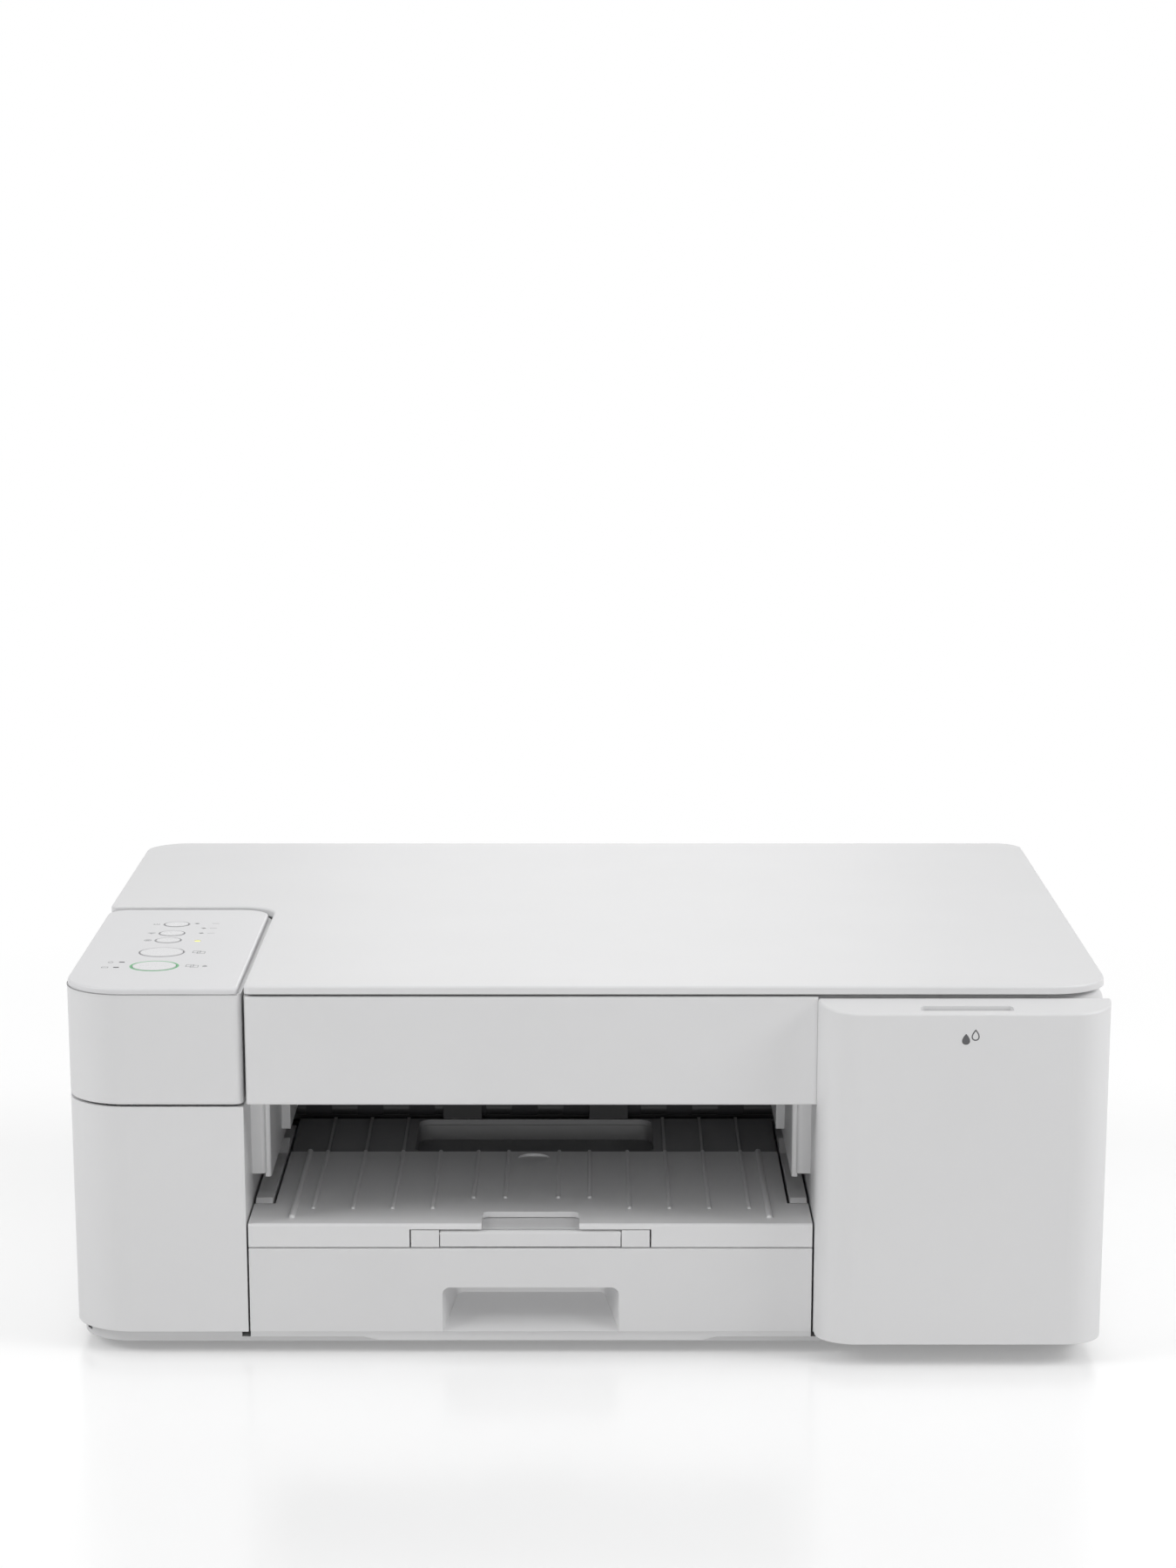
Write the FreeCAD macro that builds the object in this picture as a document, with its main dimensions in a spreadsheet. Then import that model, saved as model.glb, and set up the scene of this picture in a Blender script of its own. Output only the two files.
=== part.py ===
"""Inkjet printer with a flatbed scanner: a parametric FreeCAD model, millimetres.

Frame: +Z up, the front faces -Y, the origin is at the bottom centre of the whole printer.
The SIZES table goes into a spreadsheet. Every feature is bound to those cells with expressions;
PLACES holds the positions that follow from the sizes, written in the same words.
"""
import FreeCAD, Part
import math
import os
import re
import Sketcher

SIZES = {
    # overall
    "overall_width": 435.0,
    "overall_depth": 359.0,
    "overall_height": 159.0,
    "cover_projection": 18.0,      # ink cover in front of the lid
    # shells and seams
    "wall": 2.5,
    "seam": 0.8,
    "rub": 0.3,                    # gap between two nested shells
    "foot_height": 4.5,
    "foot_radius": 8.0,
    "feet_from_side": 32.0,        # feet's centres, in from the sides
    "feet_from_end": 34.0,         # feet's centres, in from the front and the back
    "floor_thick": 2.0,
    "skirt_height": 5.0,           # base pan seen under the covers
    "skirt_lap": 7.0,              # base pan rim that stands inside the covers
    "split_height": 108.0,         # where the scanner unit parts from the body
    "column_width": 75.0,
    "bay_width": 121.0,
    "corner_front": 26.0,
    "corner_back_left": 20.0,
    "corner_back_right": 13.0,
    "edge_round": 1.0,
    # scanner unit, panel and lid
    "lid_thick": 3.4,
    "lid_gap": 1.0,
    "panel_depth": 171.6,
    "panel_gap": 2.6,
    "panel_plate": 2.6,
    "panel_drop": 1.0,             # panel top below the lid top
    "panel_corner": 13.0,
    "hinge_inset": 6.0,            # both rear hinge lines, in from the back face
    "unit_hinge_side": 62.0,       # the scanner unit's hinges, in from the sides
    "unit_pin": 2.0,
    "lid_hinge_side": 112.0,       # the lid's hinges, in from the sides
    "lid_pin": 1.5,
    "glass_width": 300.0,
    "glass_depth": 218.0,
    "glass_thick": 2.4,
    # buttons
    "button_large": 18.4,
    "button_small": 10.4,
    "button_travel": 0.8,
    "button_proud": 0.15,
    "button_gap": 0.35,
    "button_line": 34.3,           # buttons' line, in from the left side
    # ink bay
    "cover_corner": 17.0,
    "cover_bottom_round": 7.0,
    "cover_pin": 2.0,
    "finger_from_left": 41.5,      # finger slot on top of the ink cover, from the bay's left side
    "finger_width": 38.0,
    "cover_slope": 2.8,
    "slot_black": 32.0,
    "slot_colour": 22.0,
    "slot_wall": 2.0,
    "bay_depth": 113.0,
    "slot_clear": 0.4,
    "cartridge_height": 70.0,
    # paper tray
    "tray_rear_gap": 10.0,         # from the tray's back to the back face
    "tray_seam": 46.4,
    "deck_height": 57.0,
    "deck_thick": 2.5,
    "deck_front": 27.0,
    "deck_step": 120.2,
    "deck_rise": 2.5,
    "deck_drop": 1.3,
    "rib_radius": 0.9,
    "well_width": 108.0,           # hollow in the back half of the deck
    "well_drop": 8.5,
    "thumb_radius": 7.0,
    "cheek_jamb": 6.0,             # the paper exit's sides, each step inward from the columns
    "cheek_ridge": 8.0,
    "cheek_inner": 11.8,
    "grip_width": 41.0,            # notch in the deck's front edge
    "grip_depth": 19.0,
    "handle_width": 74.5,
    "handle_top": 29.0,
    "handle_depth": 20.0,
    "handle_taper": 6.0,           # how far each side of the hand hold closes in towards its back
    "lip_setback": 0.9,
    "support_width": 100.5,
    "support_length": 92.0,
    "support_thick": 7.4,
    "flap_width": 76.0,
    "guide_thick": 2.0,
    "guide_margin": 3.9,           # room outside each side guide
    "guide_travel": 46.0,
    "guide_height": 14.0,
    "waste_pad_depth": 36.0,
    "tooth_module": 1.5,
    # sockets in the back wall
    "sockets_up": 20.0,            # from the floor to their lower edges
    "inlet_offset": 30.0,          # in from the left side
    "inlet_width": 27.0,
    "inlet_height": 20.0,
    "port_offset": 76.0,
    "port_width": 13.0,
    "port_height": 12.0,
    # print engine
    "sheet_metal": 1.5,
    "feed_line": 233.5,            # feed roller, behind the front face
    "feed_height": 60.0,
    "feed_radius": 6.0,
    "eject_radius": 3.6,
    "shaft_radius": 3.0,
    "shaft_clear": 0.06,
    "gear_module": 1.0,
    "gear_thick": 5.0,
    "mesh_angle": 2.6,             # slope of the line through the gear centres, in degrees
    "pinion_angle": 42.4,
    "carriage_width": 84.0,
    "pulley_radius": 6.0,
    "roller_overhang": 8.0,        # from the columns to the rubber of the feed and eject rollers
    "feed_motor_radius": 11.0,
    "belt_motor_radius": 14.0,
    "motor_length": 26.0,
    "motor_shaft": 2.0,
    "pickup_radius": 10.0,
    "belt_thick": 1.2,
}

PLACES = {
    "left": "-overall_width / 2",
    "right": "overall_width / 2",
    "front": "cover_projection - overall_depth / 2",
    "back": "overall_depth / 2",
    "cover_front": "-overall_depth / 2",
    "floor_top": "foot_height + floor_thick",
    "case_bottom": "foot_height + skirt_height",
    "body_top": "split_height - seam / 2",
    "unit_bottom": "split_height + seam / 2",
    "unit_top": "overall_height - lid_thick - lid_gap",
    "lid_bottom": "overall_height - lid_thick",
    "column_right": "left + column_width",
    "bay_left": "right - bay_width",
    "tray_left": "column_right + seam",
    "tray_right": "bay_left - seam",
    "centre": "(tray_left + tray_right) / 2",
    "box_left": "tray_left + 3",
    "box_right": "tray_right - 3",
    "box_floor": "floor_top + 3.5",
    "paper_half": "(box_right - box_left) / 2 - wall - guide_thick - guide_margin",
    "pan_inset": "wall + 0.5",
    "pan_in": "pan_inset + floor_thick",
    "well_left": "centre - well_width / 2",
    "well_right": "centre + well_width / 2",
    "deck_left": "box_left + 6",
    "deck_right": "box_right - 6",
    "tray_back": "back - tray_rear_gap",
    "cheek_front": "front + deck_front + 6",
    "deck_back": "eject_y - 6",
    "cheek_back": "deck_back - 6",
    "feed_y": "front + feed_line",
    "eject_y": "feed_y - 52 * gear_module",
    "eject_z": "feed_height + feed_radius - eject_radius",
    "engine_left": "column_right - 9.5",
    "engine_right": "right - 15.5",
    "engine_front": "eject_y - 10",
    "engine_back": "feed_y + 54",
    "engine_top": "split_height - 4",
    "wall_top": "feed_height - 4",
    "carriage_right": "engine_right - 6",
    "carriage_left": "carriage_right - carriage_width",
    "rail_y": "feed_y + 36",
    "belt_y": "rail_y + 8.5",
    "belt_z": "feed_height + 26",
    "pulley_left": "engine_left + 16",
    "pulley_right": "engine_right - 12",
    "unit_hinge_y": "back - hinge_inset",
    "unit_hinge_z": "unit_bottom + hinge_inset",
    "lid_hinge_z": "unit_top - hinge_inset",
    "panel_top_z": "overall_height - panel_drop",
    "panel_back": "front + panel_depth",
    "button_x": "left + button_line",
    "cover_pivot_y": "front - seam / 2 - 8.2",
    "cover_pivot_z": "case_bottom + 7",
    "glass_left": "right - 14 - glass_width",
    "glass_back": "back - 20",
    "glass_front": "glass_back - glass_depth",
    "pinion_y": "front + 172",
    "pickup_y": "feed_y + 24",
    "pickup_z": "box_floor + 27",
    "pivot_y": "pickup_y - 34",
    "pivot_z": "pickup_z + 11",
    "idler_y": "feed_y - 32 * gear_module * cos(mesh_angle)",
    "idler_z": "feed_height + 32 * gear_module * sin(mesh_angle)",
    "pinion_gear_y": "feed_y + 26 * gear_module * cos(pinion_angle)",
    "pinion_gear_z": "feed_height + 26 * gear_module * sin(pinion_angle)",
    "gear_right": "engine_left - 2",
    "gear_left": "gear_right - gear_thick",
    "cover_top": "unit_top - 0.6",
    "bay_in": "bay_left + wall",
    "holder_left": "(bay_in + right - 5) / 2 - holder_width / 2",
    "holder_width": "slot_black + 3 * slot_colour + 5 * slot_wall + 8 * slot_clear",
    "holder_front": "front + 14",
    "holder_back": "holder_front + bay_depth",
    "holder_bottom": "floor_top + 8",
    "support_top": "deck_height - deck_thick - 0.3",
    "support_bottom": "support_top - support_thick",
    "fascia_left": "column_right + 1.6",
    "fascia_right": "bay_left + 0.1",
    "panel_right": "column_right - 1.5",
    "plate_bottom": "panel_top_z - panel_plate",
    "sockets_low": "floor_top + sockets_up",
    "pan_rim": "case_bottom + skirt_lap",
    "rail_bottom": "deck_height - deck_thick - rub",
}

doc = FreeCAD.newDocument("printer")
sheet = doc.addObject("Spreadsheet::Sheet", "Sizes")
for row, (alias, value) in enumerate(SIZES.items(), 1):
    sheet.set(f"A{row}", alias)
    sheet.set(f"B{row}", str(value))
    sheet.setAlias(f"B{row}", alias)
doc.recompute()
parts = {}


def spelled(expression):
    """The expression with every place written out in the spreadsheet's own cells."""
    text = str(expression)
    while True:
        wider = re.sub(r"(?<![\w.])[a-z_]+\b(?!\()",
                       lambda m: f"({PLACES[m.group()]})" if m.group() in PLACES else m.group(), text)
        if wider == text:
            break
        text = wider
    return re.sub(r"(?<![\w.])[a-z_]+\b(?!\()",
                  lambda m: f"Sizes.{m.group()}" if m.group() in SIZES else m.group(), text)


def value(expression):
    """The expression's value now, for choosing edges and for shapes made with Part."""
    names = dict(SIZES)
    names["cos"] = lambda degrees: math.cos(math.radians(degrees))
    names["sin"] = lambda degrees: math.sin(math.radians(degrees))
    text = spelled(expression).replace("Sizes.", "")
    return number(text, names)


def number(text, names):
    """Works out an arithmetic expression of names, numbers, brackets and + - * /."""
    tokens = re.findall(r"\d+\.?\d*|[a-z_]+|[-+*/()]", text)
    position = 0

    def peek():
        return tokens[position] if position < len(tokens) else ""

    def take():
        nonlocal position
        position += 1
        return tokens[position - 1]

    def factor():
        token = take()
        if token == "-":
            return -factor()
        if token == "(":
            inner = total()
            take()
            return inner
        if token in names and callable(names[token]):
            take()
            inner = total()
            take()
            return names[token](inner)
        return names[token] if token in names else float(token)

    def product():
        result = factor()
        while peek() in ("*", "/"):
            result = result * factor() if take() == "*" else result / factor()
        return result

    def total():
        result = product()
        while peek() in ("+", "-"):
            result = result + product() if take() == "+" else result - product()
        return result

    return total()


def bind(thing, **properties):
    """Binds properties to expressions; two underscores stand for a dot, as in Placement__Base__x."""
    for name, expression in properties.items():
        thing.setExpression(name.replace("__", "."), spelled(expression))


TURNS = {
    "x": FreeCAD.Rotation(FreeCAD.Vector(0, 1, 0), 90),
    "y": FreeCAD.Rotation(FreeCAD.Vector(1, 0, 0), -90),
    "z": FreeCAD.Rotation(),
}


def place_box(box, x, y, z):
    """Binds a box, Part's or PartDesign's, to spans (low, high) along each axis."""
    bind(box, Length=f"({x[1]}) - ({x[0]})", Width=f"({y[1]}) - ({y[0]})", Height=f"({z[1]}) - ({z[0]})",
         Placement__Base__x=x[0], Placement__Base__y=y[0], Placement__Base__z=z[0])
    return box


def place_rod(rod, axis, span, across, radius):
    """Binds a cylinder to a span along its axis and to its centre's two other coordinates."""
    rod.Placement = FreeCAD.Placement(FreeCAD.Vector(), TURNS[axis])
    others = [letter for letter in "xyz" if letter != axis]
    bind(rod, Radius=radius, Height=f"({span[1]}) - ({span[0]})")
    bind(rod, **{f"Placement__Base__{axis}": span[0],
                 f"Placement__Base__{others[0]}": across[0],
                 f"Placement__Base__{others[1]}": across[1]})
    return rod


NEAR = 0.02


def near(a, b):
    return abs(a - b) < NEAR


class Piece:
    """A sub-part made as a PartDesign body, one named feature after another."""

    def __init__(self, label, several=False, tool=False):
        self.label = label
        self.body = doc.addObject("PartDesign::Body", label)
        if several:
            self.body.AllowCompound = True
        self.made = 0
        if not tool:
            parts[label] = self.body

    def feature(self, kind, word):
        self.made += 1
        return self.body.newObject(kind, f"{self.label}_{word}_{self.made}")

    def add(self, x, y, z):
        place_box(self.feature("PartDesign::AdditiveBox", "block"), x, y, z)
        return self

    def cut(self, x, y, z):
        place_box(self.feature("PartDesign::SubtractiveBox", "recess"), x, y, z)
        return self

    def rod(self, axis, span, across, radius):
        place_rod(self.feature("PartDesign::AdditiveCylinder", "rod"), axis, span, across, radius)
        return self

    def bore(self, axis, span, across, radius):
        place_rod(self.feature("PartDesign::SubtractiveCylinder", "bore"), axis, span, across, radius)
        return self

    def dish(self, x, y, z, radius, tilt):
        """A round hollow whose floor slopes down towards the back by the tilt, in degrees."""
        hollow = self.feature("PartDesign::SubtractiveCylinder", "dish")
        lean = FreeCAD.Rotation(FreeCAD.Vector(1, 0, 0), -tilt)
        hollow.Placement = FreeCAD.Placement(FreeCAD.Vector(), lean)
        bind(hollow, Radius=radius, Height=radius,
             Placement__Base__x=x, Placement__Base__y=y, Placement__Base__z=z)
        return self

    def hollow_wedge(self, y, x_near, z_near, x_far, z_far):
        """Cuts a wedge between two rectangles, each given as spans, at the low and the high Y."""
        wedge = self.feature("PartDesign::SubtractiveWedge", "wedge")
        bind(wedge, Ymin=y[0], Ymax=y[1], Xmin=x_near[0], Xmax=x_near[1], Zmin=z_near[0], Zmax=z_near[1],
             X2min=x_far[0], X2max=x_far[1], Z2min=z_far[0], Z2max=z_far[1])
        return self

    def outline(self, axis, span, points):
        """A sketch of straight edges through the points, across the axis at the span's low end."""
        sketch = self.feature("Sketcher::SketchObject", "outline")
        role = {"x": "YZ_Plane", "y": "XZ_Plane", "z": "XY_Plane"}[axis]
        plane = [o for o in self.body.Origin.OriginFeatures if o.Role == role][0]
        sketch.AttachmentSupport = (plane, [""])
        sketch.MapMode = "FlatFace"
        bind(sketch, AttachmentOffset__Base__z=f"-({span[1]})" if axis == "y" else span[0])
        spots = [FreeCAD.Vector(value(u), value(v), 0) for u, v in points]
        for i, spot in enumerate(spots):
            sketch.addGeometry(Part.LineSegment(spot, spots[(i + 1) % len(spots)]), False)
        for i in range(len(spots)):
            sketch.addConstraint(Sketcher.Constraint("Coincident", i, 2, (i + 1) % len(spots), 1))
        for i, (u, v) in enumerate(points):
            for kind, expression in (("DistanceX", u), ("DistanceY", v)):
                made = sketch.addConstraint(Sketcher.Constraint(kind, -1, 1, i, 1, value(expression)))
                sketch.setExpression(f"Constraints[{made}]", spelled(expression))
        return sketch

    def prism(self, axis, span, points):
        sketch = self.outline(axis, span, points)
        pad = self.feature("PartDesign::Pad", "pad")
        pad.Profile = sketch
        bind(pad, Length=f"({span[1]}) - ({span[0]})")
        return self

    def notch(self, axis, span, points):
        sketch = self.outline(axis, span, points)
        pocket = self.feature("PartDesign::Pocket", "pocket")
        pocket.Profile = sketch
        pocket.Reversed = True
        bind(pocket, Length=f"({span[1]}) - ({span[0]})")
        return self

    def edges(self, along=None, x=None, y=None, z=None, inside=None):
        """Names of the tip's edges at the given coordinates, each an expression or a tuple of them."""
        doc.recompute()
        wanted = {axis: [value(e) for e in (spot if isinstance(spot, tuple) else (spot,))]
                  for axis, spot in (("x", x), ("y", y), ("z", z)) if spot is not None}
        spans = {axis: (value(low), value(high)) for axis, (low, high) in (inside or {}).items()}
        names = []
        for i, edge in enumerate(self.body.Tip.Shape.Edges, 1):
            box = edge.BoundBox
            reach = {"x": (box.XMin, box.XMax), "y": (box.YMin, box.YMax), "z": (box.ZMin, box.ZMax)}
            flat = all(near(*reach[a]) and any(near(reach[a][0], v) for v in spots)
                       for a, spots in wanted.items())
            straight = along is None or all(near(*reach[a]) for a in "xyz" if a != along)
            held = all(reach[a][0] > low - NEAR and reach[a][1] < high + NEAR
                       for a, (low, high) in spans.items())
            if flat and straight and held:
                names.append(f"Edge{i}")
        return names

    def round(self, radius, **where):
        names = self.edges(**where)
        if not names:
            raise RuntimeError(f"{self.label}: no edge to round at {where}")
        base = self.body.Tip
        fillet = self.feature("PartDesign::Fillet", "round")
        fillet.Base = (base, names)
        bind(fillet, Radius=radius)
        return self


def box(x, y, z):
    return place_box(doc.addObject("Part::Box", "block"), x, y, z)


def rod(axis, span, across, radius):
    return place_rod(doc.addObject("Part::Cylinder", "rod"), axis, span, across, radius)


def ball(x, y, z, radius):
    made = doc.addObject("Part::Sphere", "ball")
    bind(made, Radius=radius, Placement__Base__x=x, Placement__Base__y=y, Placement__Base__z=z)
    return made


def group(label, *solids):
    """Separate solids that share one node."""
    made = doc.addObject("Part::Compound", label)
    made.Links = list(solids)
    parts[label] = made
    return made


def fused(label, *solids):
    made = doc.addObject("Part::MultiFuse", label or "joined")
    made.Shapes = list(solids)
    if label:
        parts[label] = made
    return made


def less(label, base, *tools):
    made = doc.addObject("Part::Cut", label or "cut")
    made.Base = base
    made.Tool = tools[0] if len(tools) == 1 else fused(None, *tools)
    if label:
        parts[label] = made
    return made


def part(label, solid):
    solid.Label = label
    parts[label] = solid
    return solid


def toothed(teeth, module, backlash, first):
    """Outline of a gear with straight-sided teeth about the origin; the first is at that angle in degrees."""
    pitch = teeth * module / 2
    tip, root = pitch + 0.75 * module, pitch - 0.9 * module
    half = (math.pi * module / 2 - backlash) / 2
    slope = math.tan(math.radians(20))
    points = []
    for k in range(teeth):
        middle = math.radians(first + 360 * k / teeth)
        for radius, width in ((root, -half - (pitch - root) * slope), (tip, -half + (tip - pitch) * slope),
                              (tip, half - (tip - pitch) * slope), (root, half + (pitch - root) * slope)):
            turn = middle + width / radius
            points.append(FreeCAD.Vector(radius * math.cos(turn), radius * math.sin(turn), 0))
    return Part.Face(Part.makePolygon(points + points[:1]))


def gear_solid(teeth, axis, span, across, first, module="gear_module", backlash=0.3, hole="shaft_radius"):
    """A gear whose teeth lie in the plane across its axis; angles count from +Y for an X axis."""
    low, high = value(span[0]), value(span[1])
    solid = toothed(teeth, value(module), backlash, first).extrude(FreeCAD.Vector(0, 0, high - low))
    solid = solid.cut(Part.makeCylinder(value(hole), high - low))
    u, v = value(across[0]), value(across[1])
    if axis == "x":
        turn = FreeCAD.Rotation(FreeCAD.Vector(0, 1, 0), FreeCAD.Vector(0, 0, 1), FreeCAD.Vector(1, 0, 0),
                                "XYZ")
        solid.Placement = FreeCAD.Placement(FreeCAD.Vector(low, u, v), turn)
    else:
        solid.Placement = FreeCAD.Placement(FreeCAD.Vector(u, v, low), FreeCAD.Rotation())
    return solid


def shaped(label, shape):
    """A sub-part whose shape Part's own functions made."""
    made = doc.addObject("Part::Feature", label or "shape")
    made.Shape = shape
    if label:
        parts[label] = made
    return made


# ---------------------------------------------------------------- the body

def rounded_box(label, x, y, z, radii, several=False, tool=False):
    """A box with rounded upright edges: radii for front left, front right, back left, back right."""
    made = Piece(label, several, tool).add(x, y, z)
    corners = ((x[0], y[0]), (x[1], y[0]), (x[0], y[1]), (x[1], y[1]))
    for radius, (u, v) in zip(radii, corners):
        if radius:
            made.round(radius, along="z", x=u, y=v)
    return made


def ring_of_radii(inset):
    return [f"{word} - {inset}" for word in
            ("corner_front", "corner_back_right", "corner_back_left", "corner_back_right")]


def base_pan():
    x, y = ("left + pan_inset", "right - pan_inset"), ("front + pan_inset", "back - pan_inset")
    pan = rounded_box("base_pan", x, y, ("foot_height", "pan_rim"), ring_of_radii("pan_inset"))
    pan.cut(("left + pan_in", "right - pan_in"), ("front + pan_in + 8", "back - pan_in - 8"),
            ("floor_top", "pan_rim"))
    pan.cut(("left + pan_in + 20", "right - pan_in - 10"), ("front + pan_in", "back - pan_in"),
            ("floor_top", "pan_rim"))
    pan.cut(("column_right - wall - 0.5", "bay_in + 0.5"), ("front + 2", "front + 14"),
            ("floor_top", "pan_rim"))
    for low in ("bay_left + 12", "right - 16"):
        pan.add((low, f"{low} + 4"), ("cover_pivot_y", "front + pan_in"),
                ("cover_pivot_z - 4", "cover_pivot_z + 4"))
        pan.rod("x", (low, f"{low} + 4"), ("cover_pivot_y", "cover_pivot_z"), "4")
    for span in (("bay_left + 16", "bay_left + 21"), ("right - 21", "right - 16")):
        pan.rod("x", span, ("cover_pivot_y", "cover_pivot_z"), "cover_pin")


def rubber_feet():
    spots = [(u, v) for u in ("left + feet_from_side", "right - feet_from_side")
             for v in ("front + feet_from_end", "back - feet_from_end")]
    group("rubber_feet", *[rod("z", ("0", "foot_height"), (u, v), "foot_radius") for u, v in spots])


def body_cover():
    outer = rounded_box("cover_outside", ("left", "right"), ("front", "back"), ("case_bottom", "body_top"),
                        ("corner_front", "", "corner_back_left", "corner_back_right"), tool=True)
    inner = rounded_box("cover_inside", ("left + wall", "right - wall"), ("front + wall", "back - wall"),
                        ("case_bottom - 1", "body_top + 1"),
                        ("corner_front - wall", "", "corner_back_left - wall", "corner_back_right - wall"),
                        tool=True)
    doorway = box(("column_right", "right - wall"), ("front - 1", "front + wall + 1"),
                  ("case_bottom - 1", "body_top + 1"))
    inlet, port = [box((f"left + {kind}_offset", f"left + {kind}_offset + {kind}_width"),
                       ("back - wall - 1", "back + 1"), ("sockets_low", f"sockets_low + {kind}_height"))
                   for kind in ("inlet", "port")]
    hinge_cuts = [box((f"{m} - 6.6", f"{m} + 6.6"), ("back - wall - 1", "back + 1"),
                      ("body_top - 6", "body_top + 1"))
                  for m in hinge_middles()]
    shell = less(None, outer.body, inner.body, doorway, inlet, port, *hinge_cuts)
    walls = [box((low, f"{low} + wall"), ("front", "engine_front - 2"), ("case_bottom", "body_top"))
             for low in ("column_right - wall", "bay_left")]
    bridge = box(("column_right - wall", "bay_in"), ("engine_front - 4", "engine_front - 2"),
                 ("body_top - 12", "body_top"))
    tie = box(("left + wall - 0.5", "column_right"), ("engine_front - 4", "engine_front - 2"),
              ("pan_rim + 1", "body_top"))
    tie_right = box(("bay_left", "right - wall + 0.5"), ("engine_front - 4", "engine_front - 2"),
                    ("body_top - 12", "body_top"))
    arms = []
    for m in hinge_middles():
        arms.append(box((f"{m} - 6", f"{m} + 6"), ("unit_hinge_y - 4", "unit_hinge_y + 4"),
                        ("body_top - 18", "unit_hinge_z")))
        arms.append(rod("x", (f"{m} - 6", f"{m} + 6"), ("unit_hinge_y", "unit_hinge_z"), "4"))
    solid = fused(None, shell, *walls, exit_cheeks(), bridge, tie, tie_right, *arms)
    bores = [rod("x", (f"{m} - 7", f"{m} + 7"), ("unit_hinge_y", "unit_hinge_z"), "unit_pin")
             for m in hinge_middles()]
    less("body_cover", solid, *bores)


def hinge_middles():
    """Where the scanner unit's two rear hinges stand, along X."""
    return ("left + unit_hinge_side", "right - unit_hinge_side")


def lid_middles():
    """Where the lid's two rear hinges stand, along X."""
    return ("left + lid_hinge_side", "right - lid_hinge_side")


def exit_cheeks():
    """The two stepped sides of the paper exit: an outer jamb, a ridge and a wall set further back."""
    steps = (("-0.5", "cheek_jamb", "cheek_front", "deck_height + 13"),
             ("cheek_jamb - 0.5", "cheek_ridge", "cheek_front + 2.5", "deck_height + 11"),
             ("cheek_ridge - 0.5", "cheek_inner", "cheek_front + 62", "deck_height + 17"))
    cheeks = Piece("exit_cheeks", several=True, tool=True)
    for near_x, far_x, start, low in steps:
        for span in ((f"column_right + {near_x}", f"column_right + {far_x}"),
                     (f"bay_left - ({far_x})", f"bay_left - ({near_x})")):
            cheeks.add(span, (start, "engine_front - 4"), (low, "body_top - 0.6"))
    cheeks.round("2", along="z", x=("column_right + cheek_jamb", "bay_left - cheek_jamb"), y="cheek_front")
    cheeks.round("1.2", along="z", x=("column_right + cheek_ridge", "bay_left - cheek_ridge"),
                 y="cheek_front + 2.5")
    return cheeks.body


def socket_shell(kind, depth):
    """The outside of a socket that stands in its hole in the back wall."""
    return box((f"left + {kind}_offset + rub", f"left + {kind}_offset + {kind}_width - rub"),
               (f"back - {depth}", "back - 0.6"),
               ("sockets_low + rub", f"sockets_low + {kind}_height - rub"))


def socket_mouth(kind, rim, depth):
    """The hollow that takes the plug, inside a rim."""
    return box((f"left + {kind}_offset + {rim}", f"left + {kind}_offset + {kind}_width - {rim}"),
               (f"back - {depth}", "back"),
               (f"sockets_low + {rim}", f"sockets_low + {kind}_height - {rim}"))


def power_pieces():
    """The two sockets in the back wall, and the supply, the board and the waste pad inside."""
    socket = socket_shell("inlet", "22")
    mouth = socket_mouth("inlet", "3", "16")
    middle = "left + inlet_offset + inlet_width / 2"
    pins = [rod("y", ("back - 17", "back - 5"), (f"{middle} {offset}", "sockets_low + inlet_height / 2"),
                "1.2")
            for offset in ("- 4", "+ 4")]
    fused("power_inlet", less(None, socket, mouth), *pins)
    middle = "left + port_offset + port_width / 2"
    tongue = box((f"{middle} - 2", f"{middle} + 2"), ("back - 13", "back - 6.5"),
                 ("sockets_low + 4.5", "sockets_low + 7.5"))
    fused("usb_port", less(None, socket_shell("port", "16"), socket_mouth("port", "2", "12")), tongue)
    part("power_supply", box(("left + 12", "left + 52"), ("back - 110", "back - 24"),
                             ("floor_top", "floor_top + 60")))
    part("main_board", box(("left + 8", "left + 9.6"), ("front + 34", "engine_front - 5"),
                           ("floor_top", "floor_top + 84")))
    part("waste_ink_pad", box(("bay_in + 8", "right - 18"), ("back - 14 - waste_pad_depth", "back - 14"),
                              ("floor_top", "floor_top + 22")))


# ---------------------------------------------------------------- the print engine

def chassis():
    frame = Piece("chassis")
    frame.add(("engine_left", "engine_left + sheet_metal"), ("engine_front", "engine_back"),
              ("floor_top", "engine_top"))
    frame.add(("engine_left", "engine_right"), ("engine_back - sheet_metal", "engine_back"),
              ("wall_top", "engine_top"))
    frame.add(("engine_right - sheet_metal", "engine_right"), ("engine_front", "engine_back"),
              ("floor_top", "engine_top"))
    for y, z in (("feed_y", "feed_height"), ("eject_y", "eject_z")):
        frame.bore("x", ("engine_left - 1", "engine_right + 1"), (y, z), "shaft_radius + shaft_clear")
    frame.bore("y", ("engine_back - 3", "engine_back + 1"), ("pulley_left", "belt_z"),
               "motor_shaft + shaft_clear")
    frame.bore("x", ("engine_left - 1", "engine_left + 3"), ("pinion_gear_y", "pinion_gear_z"),
               "motor_shaft + shaft_clear")
    frame.rod("x", ("gear_left", "engine_left + 0.5"), ("idler_y", "idler_z"), "2.5")
    frame.rod("x", ("engine_left + 0.5", "centre + 22"), ("pivot_y", "pivot_z"), "shaft_radius")
    frame.rod("y", ("belt_y - 3", "engine_back - 0.5"), ("pulley_right", "belt_z"), "2")


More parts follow.
